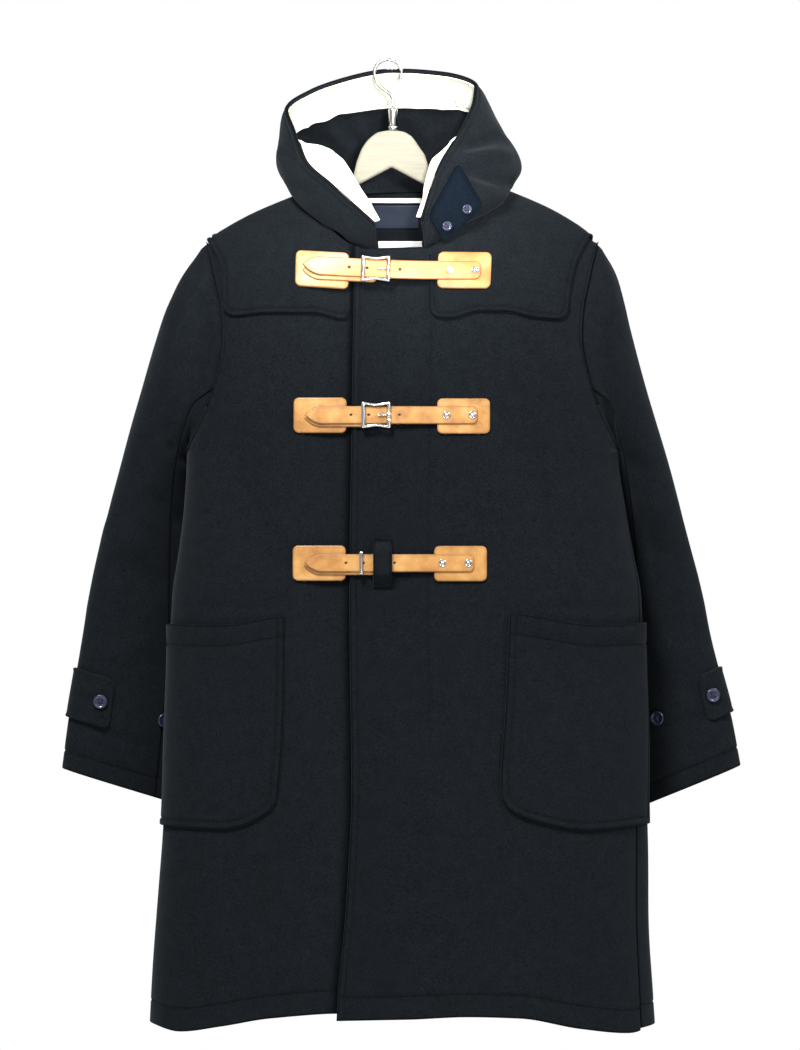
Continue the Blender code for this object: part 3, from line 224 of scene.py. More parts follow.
# Where the facing stands off the hood: its lower edge's place from the rim, and how fully it stands off
#     along   reach_x reach_y reach_z  share
FACING_REACH = (
    (-1.00, 0.004, 0.010, 0.002, 1.0),
    (-0.90, 0.014, 0.014, 0.006, 1.0),
    (-0.82, 0.021, 0.018, 0.007, 1.0),
    (-0.75, 0.027, 0.022, 0.008, 1.0),
    (-0.70, 0.032, 0.025, 0.009, 1.0),
    (-0.65, 0.034, 0.026, 0.012, 1.0),
    (-0.60, 0.031, 0.026, 0.012, 1.0),
    (-0.57, 0.020, 0.020, 0.009, 1.0),
    (-0.545, 0.003, 0.007, 0.001, 1.0),
    (-0.52, 0.002, 0.020, 0.000, 0.0),
    (0.00, 0.000, 0.040, -0.020, 0.0),
    (0.60, 0.000, 0.008, 0.000, 0.0),
    (0.67, -0.0005, 0.007, 0.000, 1.0),
    (0.71, -0.0045, 0.012, 0.000, 1.0),
    (0.755, -0.0105, 0.015, 0.001, 1.0),
    (0.80, -0.0090, 0.013, 0.000, 1.0),
    (0.86, -0.007, 0.011, 0.000, 1.0),
    (0.92, -0.004, 0.009, 0.000, 1.0),
    (1.00, -0.005, 0.008, 0.000, 1.0),
)
FACING_START = 0.001  # where it stands off, the facing starts this far from the rim
FACING_INSET = 0.004  # where it lies in the hood, it starts this far from the rim
FACING_FULL = 0.014  # a facing wider than this has its fine points at their full distances
FACING_END = 0.99
FACING_ROWS = 26
FACING_STITCH = 0.0040
FACING_RIPPLE = (0.02, 0.0006)  # its size and its depth
FACING_CALM = 0.008

# Patch pockets that wrap round the sides
POCKET_INNER = {
    "left": ((-0.676, -0.1248), (-0.775, -0.1260), (-0.870, -0.1320), (-0.925, -0.1420)),
    "right": ((-0.676, 0.1416), (-0.775, 0.1380), (-0.870, 0.1320), (-0.925, 0.1440)),
}
POCKET_TOP = (
    (-0.30, -0.676), (-0.20, -0.678), (-0.125, -0.667), (0.141, -0.664), (0.245, -0.678), (0.31, -0.675),
)
POCKET_BOTTOM = (
    (-0.30, -0.916), (-0.20, -0.922), (-0.142, -0.910), (0.144, -0.908), (0.230, -0.923), (0.31, -0.916),
)
POCKET_SIZE = (0.20, 0.245)
POCKET_MIDDLE_Z = -0.78
POCKET_SAMPLES = 90
POCKET_HEM_RISE = 0.0006

# Yokes: the inner line's x, the lower edge's points as (x, z), the outer edge's as (z, x), and the corners
YOKES = {
    "left": {
        "inner_x": -0.048,
        "lower": (
            (-0.1990, -0.3100), (-0.1848, -0.3100), (-0.1476, -0.3065), (-0.0972, -0.3060),
            (-0.0480, -0.3170),
        ),
        "outer": (
            (-0.3100, -0.1982), (-0.2920, -0.1986), (-0.2616, -0.1992), (-0.2390, -0.2065),
            (-0.2260, -0.2140),
        ),
        "corner": 0.014,
    },
    "right": {
        "inner_x": 0.0462,
        "lower": (
            (0.0462, -0.3110), (0.0720, -0.3125), (0.1068, -0.3040), (0.1368, -0.3040), (0.1704, -0.3112),
            (0.2120, -0.3150),
        ),
        "outer": ((-0.3150, 0.2112), (-0.2856, 0.2130), (-0.2484, 0.2205), (-0.2160, 0.2360)),
        "corner": 0.013,
    },
}
BACK_YOKE = {"lower_z": -0.330, "corner": 0.030, "outer": (0.03, 0.97), "size": (0.46, 0.15)}
YOKE_SIDE_Z = -0.28
FRONT_YOKE_HEIGHT = 0.11
YOKE_LIFT = 0.0006
NECK_MARGIN = 0.012
POCKET_WRAP = 14.0  # degrees behind the side seam
POCKET_CORNER = 0.022
POCKET_GAPE = {"left": 0.002, "right": 0.005}
GAPE_REACH = 0.035  # how far down a pocket's opening stands off, and how far from its sides it does so fully
GAPE_SIDE = 0.07
SLANT_ROUNDS = 4  # rounds in which a slanted edge's x and z are brought together

# Folds and creases: the face they are on, their ends, their half width and how far they push the cloth out
FOLDS = (
    #  face          x1      z1      x2      z2      width   push
    ("front", 0.152, -0.400, 0.187, -0.585, 0.022, -0.0080),
    ("front", 0.216, -0.350, 0.236, -0.560, 0.016, 0.0058),
    ("front", 0.120, -0.470, 0.150, -0.640, 0.020, 0.0032),
    ("front", -0.190, -0.450, -0.150, -0.600, 0.022, -0.0043),
    ("front", -0.222, -0.480, -0.215, -0.640, 0.014, 0.0043),
    ("front", -0.252, -0.6565, -0.104, -0.6565, 0.005, -0.0014),
    ("front", 0.149, -0.6560, 0.290, -0.6565, 0.005, -0.0014),
    ("front", -0.190, -0.740, -0.170, -1.150, 0.040, -0.0043),
    ("front", -0.080, -0.720, -0.100, -1.140, 0.045, 0.0043),
    ("front", 0.150, -0.700, 0.170, -1.150, 0.042, -0.0051),
    ("front", 0.235, -0.760, 0.262, -1.150, 0.034, 0.0043),
    ("front", 0.060, -0.660, 0.066, -1.130, 0.040, 0.0029),
    ("back", -0.165, -0.360, -0.150, -0.560, 0.030, -0.0065),
    ("back", 0.190, -0.350, 0.170, -0.580, 0.028, -0.0058),
    ("back", -0.020, -0.450, -0.060, -0.820, 0.048, 0.0043),
    ("back", 0.110, -0.600, 0.130, -1.140, 0.045, -0.0072),
    ("back", -0.120, -0.640, -0.150, -1.140, 0.042, 0.0072),
    ("back", 0.010, -0.820, 0.020, -1.140, 0.050, -0.0051),
    ("back", 0.215, -0.700, 0.230, -1.120, 0.030, 0.0051),
    ("sleeve_left", -0.2290, -0.290, -0.2150, -0.400, 0.0135, -0.0085),
    ("sleeve_left", -0.2640, -0.300, -0.2520, -0.440, 0.0150, 0.0045),
    ("sleeve_left", -0.2650, -0.465, -0.2330, -0.486, 0.0070, -0.0043),
    ("sleeve_left", -0.2900, -0.520, -0.2480, -0.560, 0.0120, -0.0036),
    ("sleeve_left", -0.3250, -0.600, -0.2700, -0.640, 0.0180, -0.0043),
    ("sleeve_left", -0.3400, -0.560, -0.3000, -0.590, 0.0160, 0.0029),
    ("sleeve_left", -0.3600, -0.720, -0.2900, -0.700, 0.0160, 0.0029),
    ("sleeve_left", -0.3780, -0.797, -0.2950, -0.826, 0.0055, -0.0023),
    ("sleeve_left", -0.3720, -0.768, -0.3300, -0.776, 0.0060, -0.0014),
    ("sleeve_left_back", -0.2300, -0.300, -0.2250, -0.420, 0.0100, -0.0058),
    ("sleeve_left_back", -0.3300, -0.540, -0.2600, -0.600, 0.0200, -0.0051),
    ("sleeve_left_back", -0.3600, -0.660, -0.2800, -0.640, 0.0180, 0.0036),
    ("sleeve_right", 0.2510, -0.290, 0.2570, -0.380, 0.0125, -0.0080),
    ("sleeve_right", 0.2570, -0.380, 0.2640, -0.450, 0.0100, -0.0060),
    ("sleeve_right", 0.2720, -0.300, 0.2760, -0.440, 0.0140, 0.0043),
    ("sleeve_right", 0.2760, -0.470, 0.3100, -0.500, 0.0090, -0.0043),
    ("sleeve_right", 0.2950, -0.560, 0.3450, -0.610, 0.0180, -0.0043),
    ("sleeve_right", 0.3000, -0.520, 0.3350, -0.550, 0.0150, 0.0029),
    ("sleeve_right", 0.3100, -0.690, 0.3780, -0.730, 0.0180, 0.0029),
    ("sleeve_right", 0.3300, -0.800, 0.4050, -0.785, 0.0070, -0.0020),
    ("sleeve_right_back", 0.2560, -0.300, 0.2600, -0.420, 0.0100, -0.0058),
    ("sleeve_right_back", 0.2800, -0.560, 0.3500, -0.620, 0.0200, -0.0051),
    ("sleeve_right_back", 0.3000, -0.680, 0.3750, -0.650, 0.0180, 0.0036),
    ("hood", 0.0852, -0.1068, 0.1344, -0.0918, 0.0080, -0.0095),
    ("hood", 0.0900, -0.1180, 0.1400, -0.1130, 0.0080, 0.0075),
    ("hood", 0.0918, -0.1344, 0.1452, -0.1500, 0.0080, -0.0100),
    ("hood", 0.0850, -0.1500, 0.1300, -0.1680, 0.0090, 0.0050),
    ("hood", -0.1280, -0.1120, -0.1080, -0.1230, 0.0060, -0.0055),
    ("hood", -0.1200, -0.1480, -0.0900, -0.1650, 0.0070, -0.0045),
    ("facing_back", 0.0792, -0.0276, 0.0948, -0.0528, 0.0035, -0.0032),
    ("facing_back", 0.0690, -0.0300, 0.0860, -0.0600, 0.0045, 0.0026),
    ("facing_back", 0.0600, -0.0300, 0.0640, -0.0560, 0.0040, -0.0018),
    ("facing_back", -0.1080, -0.0700, -0.0900, -0.0850, 0.0040, -0.0030),
    ("facing_back", -0.0700, -0.0350, -0.0760, -0.0640, 0.0050, 0.0022),
    ("hood_back", -0.0640, -0.0600, -0.0300, -0.1500, 0.0100, 0.0070),
    ("hood_back", -0.0420, -0.0650, -0.0080, -0.1250, 0.0080, -0.0050),
    ("hood_back", 0.0440, -0.0600, 0.0700, -0.1300, 0.0100, 0.0060),
    ("hood_back", -0.0900, -0.0500, -0.0300, -0.1300, 0.0120, -0.0058),
    ("hood_back", 0.0300, -0.0600, 0.0900, -0.1300, 0.0120, -0.0058),
)
FOLD_REACH = 0.15  # the share of its length by which a fold fades beyond its ends
SWELL_SIZE = 0.11
SWELL_DEPTH = 0.0012

# Fine grids
CLOTH_STEP = 0.0050
ARMPIT_CLEAR = 0.3 * CLOTH_STEP  # rows nearer than this to the row at the armpit are left out
PIECE_STEP = 0.0035
DENSE = 160  # samples of a row, from which its points are then spaced evenly
FINE = (0.0, 0.0005, 0.0012, 0.0022, 0.0038)  # points beside an edge
BESIDE = (-0.0024, -0.0012, 0.0, 0.0012, 0.0024)  # points beside a stitched line
FINE_LEAST = 0.0004  # fine points lie at least this far apart
FINE_SHARE = 0.8  # how much of a short length its fine points may take
ABOVE_ARMPIT = 0.27  # a column's length to the armpit's height, and from there to the hem
BELOW_ARMPIT = 0.685

PAINTED_SHADE_WOOL = 0.25  # the darkest painted shade in seams and at edges, as a share of the wool's dark colour

# Stitched lines, as distances from an edge
FRONT_STITCH = 0.0078
HEM_STITCH = 0.0270
PLACKET_LINE = 0.0930
PLACKET_START = (0.08, 0.10)  # the placket's line fades in below the top edge, and out above the hem
PLACKET_END = (0.29, 0.34)
PLACKET_SHARE = 0.6
CUFF_STITCH = 0.0220
YOKE_STITCH = 0.0062
POCKET_STITCH = 0.0085
POCKET_HEM = 0.0250
POCKET_HEM_REACH = 0.8 * POCKET_HEM
RIM_STITCH = 0.0070
SEAM_STITCH = 0.0045
TAB_STITCH = 0.0040
STITCH_SINK = 0.0011
STITCH_REACH = 0.0015
WELT_RISE = 0.0009
EDGE_ROLL = 0.0019
EDGE_DROP = 0.7 * EDGE_ROLL
SEAM_SINK = 0.0012
SEAM_REACH = 0.0060
SHADE_REACH = 0.0019  # how far the painted shade at an edge or in a stitched line reaches
# the strength of the painted shade at an edge and in a stitched line
EDGE_SHADE = 0.85
STITCH_SHADE = 0.28
CLOSING_SHADE = 0.92  # the painted shadow on the left front beside the right front's free edge
CLOSING_SHADE_REACH = 0.0062
# How far in, and how high, the sleeve runs on under the body
TUCK = ((0.0060, -0.0012), (0.0025, -0.0010), (0.0, -0.0004))

# Fastenings, top to bottom: the patches' middles and tilts, the strap's two ends and its fall to the right
FASTENINGS = (
    {"tag": "1", "z": -0.2544, "left": (-0.0797, -0.2552), "right": (0.0880, -0.2556),
     "tip": -0.1004, "end": 0.1070, "tilt": -1.2, "holes": (-0.0474, -0.0264, 0.0120),
     "rivets": (0.0713, 0.1000), "yoke": True},
    {"tag": "2", "z": -0.4272, "left": (-0.0830, -0.4272), "right": (0.0876, -0.4282),
     "tip": -0.0995, "end": 0.1040, "tilt": 0.0, "holes": (-0.0461, -0.0252, 0.0113),
     "rivets": (0.0672, 0.0980), "yoke": False},
    {"tag": "3", "z": -0.6036, "left": (-0.0840, -0.6036), "right": (0.0840, -0.6042),
     "tip": -0.1000, "end": 0.1000, "tilt": 0.0, "holes": (-0.0522, -0.0312, 0.0053),
     "rivets": (0.0624, 0.0932), "yoke": False},
)
PATCH_SIZE = (0.0630, 0.0420)
PATCH_CORNER = 0.0065
PATCH_STEP = 0.0016
PATCH_GAP = 0.0004
PATCH_ROLL = 0.0018  # how far in the edge is rounded, and how far down
PATCH_DROP = 0.0010
PATCH_LINE = 0.0030  # the creased line's distance from the edge, its half width and its depth
PATCH_LINE_REACH = 0.0006
PATCH_GROOVE = 0.0004
PATCH_BURNISH = 0.0014  # how far in the burnished edge reaches
STRAP_WIDTH = 0.0208
STRAP_STEP = 0.0009
STRAP_ROLL = 0.0014
STRAP_DROP = 0.0009
STRAP_LINE = 0.0024
STRAP_LINE_REACH = 0.0005
STRAP_GROOVE = 0.00025
STRAP_BURNISH = 0.0012
STRAP_CORNER = 0.006
STRAP_TIP = 0.06  # the point's bluntness, as a share of the strap's width
LEATHER_GAP = 0.0002
STRAP_POINT = 0.019
TIP_CURL = 0.0034  # how far the loose tip stands off the strap below it
TIP_REACH = 0.013
STRAP_FALL = (-0.008, 0.050)
SHORT_STRAP_END = -0.0150
SHORT_STRAP_DROP = 0.0036
SHORT_STRAP_REACH = 0.0015  # how far the short strap's end shows past the long strap's tip
HOLE_RADIUS = 0.0015
HOLE_DEPTH = 0.0012
HOLE_WALL = (HOLE_RADIUS * 0.75, HOLE_RADIUS * 1.2)
# the punched holes' mark, above the burnish's range, which the leather paints as near-black shade
HOLE_SHADE = 3
BUCKLE_X = -0.0164
BUCKLE_BAR_X = -0.0340  # the lowest buckle's left bar, which shows beside the keeper loop
BUCKLE_SIZE = (0.0345, 0.0315)
BUCKLE_WIRE = 0.0019
BUCKLE_BAR = 1.55  # the upright bars' thickness, as a share of the wire's
BUCKLE_WAIST = (0.0016, 0.0005)  # how far its level and its upright sides draw in
BUCKLE_STEPS = 20
BUCKLE_LEVEL = 0.90  # the level sides' thickness, as a share of the wire's
CUSP_RISE = 0.45  # how much thicker the corners are, and how far that reaches
CUSP_HALF = 0.07
BAR_SHORT = 0.001
BAR_THICK = 1.25
BUCKLE_GAP = 0.0004
PRONG_NOTCH = (0.36, 0.64)  # where the prong's hinge narrows the right bar
PRONG_NOTCH_DEPTH = 0.75
PRONG_NOTCH_HALF = 0.06
PRONG_RADII = (0.0008, *[0.0011] * 7, 0.0014)
PRONG_SHORT = 0.003
PRONG_WAVE = 0.0004
RIVET_RADIUS = 0.0046
RIVET_SINK = 0.0001
# A rivet's rim, groove and dome, as shares of its radius and heights
RIVET_SHAPE = (
    (0, 0), (0.90, 0), (1.0, 0.0003), (1.0, 0.0008), (0.92, 0.0013), (0.80, 0.0015), (0.68, 0.0012),
    (0.60, 0.0007), (0.52, 0.0007), (0.44, 0.0013), (0.30, 0.0018), (0.14, 0.0020), (0, 0.0020),
)
KEEPER = {
    "x": -0.0086, "width": 0.0220, "height": 0.0580, "wall": 0.0022,
    "foot": 0.004, "edge": 0.001, "stitch": 0.0030, "relief": 0.7, "clear": 0.0006, "steps": (8, 34),
}

TAB_CORNERS = ((0.0809, -0.1224), (0.1122, -0.1769), (0.0644, -0.2220), (0.0442, -0.1888))
TAB_WALL = 0.0034
TAB_BUTTONS = ((0.0919, -0.1805), (0.0680, -0.2008))
TAB_CORNER = 0.007
TAB_SIZE = (0.045, 0.060)
TAB_GAP = 0.0003
TAB_LIES_ON = ("hood_right", "front_right", "yoke_front_right")
TAB_EDGE = (0, 0.008, 0.02, 0.04)  # the shares of its fine points beside an edge, and of its even ones
TAB_INSIDE = (0.065, 0.935)
TAB_COUNT = 26
TAB_ROUNDS = 160  # rounds of smoothing that make it flat and stiff

# Cuff straps: from and to which row of the sleeve, and from and to which degrees round it
CUFF_STRAP = {
    "rows": {"left": (6.30, 6.92), "right": (6.38, 7.02)},
    "degrees": {"left": (-62.0, 72.0), "right": (-62.0, 55.0)},
    "corner": 0.009,
    "stitch": 0.0050,
    "steps": (14, 34),
}
CUFF_SAMPLES = (40, 90)
CUFF_NEAR = (0.05, 0.004)  # radians and rows over which the direction at a cuff button is measured
CUFF_BUTTONS = {"left": (60.0, 114.0), "right": (43.0, 99.0)}
BUTTON_RADIUS = 0.0085
BUTTON_THICK = 0.0030
TAB_BUTTON_RADIUS = 0.0058
TAB_BUTTON_THICK = 0.0024
# Shares of a button's radius and thickness: its four holes, its sunk middle, and its crossed threads
BUTTON_HOLE_AWAY = 0.26
BUTTON_HOLE = 0.13
BUTTON_HOLE_WALL = (0.6, 1.3)
BUTTON_HOLE_DEPTH = 0.5
BUTTON_HOLE_FOOT = 0.3
BUTTON_FLOOR = (0.62, 0.68)
BUTTON_RINGS = 12
THREAD_HEIGHTS = (0.74, 0.84)
THREAD_CROSS = 0.1
THREAD_RADIUS = 0.09
# A button's outline up to its sunk middle, as shares of its radius and thickness
BUTTON_RIM = (
    (0, 0), (0.80, 0), (0.95, 0.15), (1, 0.40), (1, 0.62), (0.95, 0.90), (0.86, 1), (0.76, 0.94),
    (0.68, 0.74),
)

TAPE = {"x": (-0.0288, 0.0379), "z": (-0.1635, -0.1688)}
LABEL = {"x": (-0.0233, 0.0343), "z": (-0.1722, -0.1992)}
TAG = {"x": (-0.0144, 0.0384), "z": (-0.2150, -0.2390)}

# Hanger
BOARD_THICK = 0.012
BOARD_BEVEL = 0.0035
ARM_REACH = (-0.2060, 0.2160)
ARM_CLEARANCE = 0.0075
ARM_HEIGHT = (0.024, 0.034)
CROWN = (
    (-0.0402, -0.1212), (-0.0341, -0.1056), (-0.0252, -0.0936), (-0.0126, -0.0852), (0.0024, -0.0834),
    (0.0144, -0.0846), (0.0252, -0.0900), (0.0348, -0.1026), (0.0420, -0.1128),
)
NOTCH = (0.0019, -0.1278)
NOTCH_SLOPE = 0.53
NOTCH_REACH = 0.35  # the notch's reach, as a share of the arm's
BOARD_LEAST = 0.018  # the board's least height over the notch
ARM_STEPS = 24
WIRE_RADIUS = 0.0019
HOOK_RADIUS = 0.0163
HOOK_ROUND = (-25.0, 205.0)
HOOK_X = -0.0026
HOOK_GAP = 0.0002
HOOK_BEND = ((-0.0135, -0.0290), (-0.0060, -0.0350), (0.0010, -0.0410), (0.0036, -0.0475), (0.0036, -0.0560))
FERRULE = {"x": 0.0036, "radius": 0.0056, "z": (-0.0560, -0.0830)}
# Its outline, as shares of its radius, with heights above its foot and then below its top
FERRULE_FOOT = ((0, 0), (0.92, 0), (1, 0.0008), (1, 0.004), (0.93, 0.0046), (1, 0.0052))
FERRULE_TOP = ((1, 0.003), (0.94, 0.0014), (0.75, 0.0004), (0, 0))

# Camera and light
VIEW_MIDDLE = (0.012, -0.03, -0.558)
VIEW_HEIGHT = 1.26
VIEW_DISTANCE = 12.0
SENSOR = 36.0
FLOOR_Z = -1.45
FLOOR_RADIUS = 2.2
WORLD_LIGHT = 0.15
WORLD_GLOSS = 0.36  # the studio as metal, leather and buttons mirror it
WORLD_SEEN = 1.0
LIT_MIDDLE = (0.01, 0.0, -0.55)
LIGHTS = (
    #  name    place                 size  power
    ("key", (-0.6, -1.7, 1.25), 0.8, 92.0),
    ("front", (1.6, -3.2, 0.6), 2.4, 18.0),
    ("side", (2.0, -1.1, 1.0), 1.0, 44.0),
    ("behind", (0.6, 2.6, 0.8), 2.4, 130.0),
)
# Spots on the hood: one from below for the facing's upper band, one for the inside of the hood
SPOTS = (
    #  name         place               aim                 degrees size  power
    ("band_spot", (0.0, -2.0, -0.62), (0.01, 0.0, -0.10), 20.0, 0.10, 112.0),
    ("hood_spot", (0.25, -2.0, 0.02), (0.01, 0.05, -0.11), 13.0, 0.10, 260.0),
)


def curve_through(pairs):
    """A smooth function through (place, value) pairs that never swings past them."""
    pairs = sorted(pairs)
    xs = [p[0] for p in pairs]
    ys = [p[1] for p in pairs]
    steps = [(ys[i + 1] - ys[i]) / (xs[i + 1] - xs[i]) for i in range(len(xs) - 1)]
    slopes = [steps[0]]
    for before, after in zip(steps, steps[1:]):
        slopes.append(0.0 if before * after <= 0 else 2 * before * after / (before + after))
    slopes.append(steps[-1])

    def value(x):
        if x <= xs[0]:
            return ys[0] + slopes[0] * (x - xs[0])
        if x >= xs[-1]:
            return ys[-1] + slopes[-1] * (x - xs[-1])
        i = bisect_right(xs, x) - 1
        width = xs[i + 1] - xs[i]
        t = (x - xs[i]) / width
        return (
            ys[i] * (1 + 2 * t) * (1 - t) ** 2
            + slopes[i] * width * t * (1 - t) ** 2
            + ys[i + 1] * t * t * (3 - 2 * t)
            - slopes[i + 1] * width * t * t * (1 - t)
        )

    return value


def lerp(a, b, t):
    return a + (b - a) * t


def smooth_step(low, high, x):
    t = min(1.0, max(0.0, (x - low) / (high - low)))
    return t * t * (3 - 2 * t)


centre_at, half_width_at, front_at, back_at, middle_at = (
    curve_through([(row[0], row[k]) for row in SECTIONS]) for k in range(1, 6)
)
shoulder_at = curve_through(SHOULDER_LINE)
front_neck_at = curve_through(FRONT_NECK)
back_neck_at = curve_through(BACK_NECK)
closing_edge_at = curve_through(CLOSING_EDGE)
armhole_at = curve_through(ARMHOLE)
side_seam_at = {side: curve_through(pairs) for side, pairs in SIDE_SEAM.items()}
hem_at = {"left": curve_through(LEFT_HEM), "right": curve_through(RIGHT_HEM), "back": curve_through(BACK_HEM)}
pocket_top_at = curve_through(POCKET_TOP)
pocket_bottom_at = curve_through(POCKET_BOTTOM)
TOP_CENTRE = centre_at(TOP_Z)
TOP_HALF_WIDTH = half_width_at(TOP_Z)
SHOULDER_POINT_X = {
    "left": TOP_CENTRE - TOP_HALF_WIDTH * armhole_at(0),
    "right": TOP_CENTRE + TOP_HALF_WIDTH * armhole_at(0),
}


def signed_power(value, power):
    return math.copysign(abs(value) ** power, value)


def angle_of(x, z):
    """The angle round the body, in degrees from the front's middle, at which the front passes x."""
    share = (x - centre_at(z)) / half_width_at(z)
    return math.degrees(math.asin(max(-1.0, min(1.0, signed_power(share, SQUARENESS / 2)))))


def body_point(angle, z):
    """A point on the inner face of the body's cloth."""
    a = math.radians(angle)
    x = centre_at(z) + half_width_at(z) * signed_power(math.sin(a), 2 / SQUARENESS)
    depth = front_at(z) if math.cos(a) > 0 else back_at(z)
    drop = min(1.0, max(0.0, (shoulder_at(x) - z) / SHOULDER_ROLL))
    depth *= math.sin(math.pi / 2 * drop) ** ROLL_POWER
    return Vector((x, middle_at(z) - depth * signed_power(math.cos(a), 2 / SQUARENESS), z))


def edge_angle(side, face, z):
    """The angle of the armhole, or below it of the side seam, on one side of the front or back."""
    if z <= ARMPIT_Z:
        return side_seam_at[side](z)
    top = shoulder_at(SHOULDER_POINT_X[side])
    share = max(0.0, (top - z) / (top - ARMPIT_Z))
    angle = math.degrees(math.asin(min(1.0, armhole_at(min(1.0, share)) ** (SQUARENESS / 2))))
    return angle if face == "front" else 180 - angle


def top_z(face, x):
    neck = front_neck_at if face == "front" else back_neck_at
    return neck(x) if NECK_SIDE["left"] < x < NECK_SIDE["right"] else shoulder_at(x)


class Panel:
    """A front or the back. f runs across it from 0 to 1; s runs down it: 1 is the armpit and 2 the hem."""

    def __init__(self, name):
        self.name = name
        self.face = "back" if name == "back" else "front"
        self.sign = -1 if name == "left" else 1

    def edges(self, z):
        if self.name == "left":
            return angle_of(UNDERLAP_X, z), -edge_angle("left", "front", z)
        if self.name == "right":
            return angle_of(closing_edge_at(z), z), edge_angle("right", "front", z)
        return edge_angle("right", "back", z), 360 - edge_angle("left", "back", z)

    def column(self, x):
        """The f of the column that leaves the top edge at x."""
        first, last = self.edges(top_z(self.face, x) if self.name == "right" else TOP_Z)
        angle = angle_of(x, TOP_Z)
        if self.face == "back":
            angle = 180 - angle
        return (angle - first) / (last - first)

    def top(self, f):
        first, last = self.edges(TOP_Z)
        a = math.radians(lerp(first, last, f))
        x = TOP_CENTRE + TOP_HALF_WIDTH * signed_power(math.sin(a), 2 / SQUARENESS)
        return top_z(self.face, x)

    def point(self, f, s):
        top = self.top(min(1.0, max(0.0, f)))
        if s <= 1:
            z = lerp(top, ARMPIT_Z, s)
        else:
            x = body_point(lerp(*self.edges(HEM_Z), f), HEM_Z).x
            z = lerp(ARMPIT_Z, hem_at[self.name](x), s - 1)
        place = body_point(lerp(*self.edges(z), f), z)
        if self.name == "left":
            place.y += UNDERLAP_DEPTH * smooth_step(*UNDERLAP_STEP, place.x)
        return place

    def normal(self, f, s):
        """The outward normal; the differences are one-sided at the top edge."""
        across = self.point(min(1, f + PANEL_STEP), s) - self.point(max(0, f - PANEL_STEP), s)
        down = self.point(f, s + PANEL_STEP) - self.point(f, max(0.0, s - PANEL_STEP))
        normal = (self.sign * down.cross(across)).normalized()
        at_armhole = f >= 1 or (f <= 0 and self.face == "back")
        if at_armhole and s <= 1:
            share = ARMPIT_TURN[2] * smooth_step(ARMPIT_TURN[0], ARMPIT_TURN[1], s)
            normal = normal.lerp(Vector((0, 0, -1)), share).normalized()
        return normal

    def share_across(self, x, z):
        """The f at which the face passes x at a height."""
        first, last = self.edges(z)
        return (angle_of(x, z) - first) / (last - first)

    def share_down(self, f, z):
        """The s at which a column reaches a height above the hem."""
        top = self.top(min(1.0, max(0.0, f)))
        if z >= ARMPIT_Z:
            return (top - z) / (top - ARMPIT_Z)
        x = body_point(lerp(*self.edges(HEM_Z), f), HEM_Z).x
        return 1 + (ARMPIT_Z - z) / (ARMPIT_Z - hem_at[self.name](x))


PANELS = {name: Panel(name) for name in ("left", "right", "back")}


def neck_site(along):
    """The neckline's point on the panels, with the panel's normal; along runs from -1 to 1 round the neck."""
    side = "left" if along < 0 else "right"
    if abs(along) <= 0.5:
        x = lerp(TOP_CENTRE, NECK_SIDE[side], abs(along) / 0.5)
        panel = PANELS["back"]
    else:
        x = lerp(NECK_SIDE[side], FRONT_NECK_END[side], (min(1, abs(along)) - 0.5) / 0.5)
        panel = PANELS[side]
    f = panel.column(x)
    return panel.point(f, 0), panel.normal(f, 0)


def neck_point(along):
    """Where the hood's edge meets the panels, and which way its wall faces there.

    The hood's edge lies on the panels' outer face, but its left end is tucked in under the right front.
    """
    before, here, after = (neck_site(max(-1, min(1, along + k * NECK_STEP))) for k in (-1, 0, 1))
    normal = (before[1] + here[1] + after[1]).normalized()
    away = normal.cross(after[0] - before[0]).normalized()
    tucked = smooth_step(*HOOD_TUCK, here[0].x) if along < -0.5 else 0.0
    at_side = max(0.0, 1 - abs(abs(along) - 0.5) / NECK_SIDE_REACH)
    lift = normal * (WALL + HOOD_SEAM + NECK_SIDE_RISE * at_side) * (1 - tucked)
    lift.z += 2 * HOOD_SEAM * tucked + HOOD_TUCK_RISE * math.sin(math.pi * tucked)
    return here[0] + lift, away.lerp(normal, tucked).normalized()


def unit(vectors):
    return vectors / np.maximum(np.linalg.norm(vectors, axis=-1, keepdims=True), 1e-12)


def runs_of(row):
    """The distance from a row's start to each of its points."""
    return np.concatenate(([0.0], np.cumsum(np.linalg.norm(np.diff(row, axis=0), axis=1))))


def beside_lines(lines):
    """The places beside an edge at which its rolled border and its stitched lines need points."""
    places = sorted([*FINE, *(line + k for line in lines for k in BESIDE)])
    kept = [places[0]]
    for place in places[1:]:
        if place - kept[-1] > FINE_LEAST:
            kept.append(place)
    return kept


def marks(length, count, start=(), end=()):
    """Places along a length: fine beside both ends and their stitched lines, and count even steps between."""
    near, far = beside_lines(start), beside_lines(end)
    if near[-1] + far[-1] > FINE_SHARE * length:
        shrink = FINE_SHARE * length / (near[-1] + far[-1])
        near, far = [shrink * place for place in near], [shrink * place for place in far]
    steps = [lerp(near[-1], length - far[-1], k / count) for k in range(1, count)]
    return np.array([*near, *steps, *(length - place for place in reversed(far))])


def spaced(row, count, start=()):
    """A densely sampled row, taken again at marks() along its length."""
    runs = runs_of(row)
    places = marks(runs[-1], count, start)
    return np.stack([np.interp(places, runs, row[:, k]) for k in range(3)], axis=1)


def normals_of(grid, sign):
    across = np.gradient(grid, axis=1)
    down = np.gradient(grid, axis=0)
    return sign * unit(np.cross(down, across))


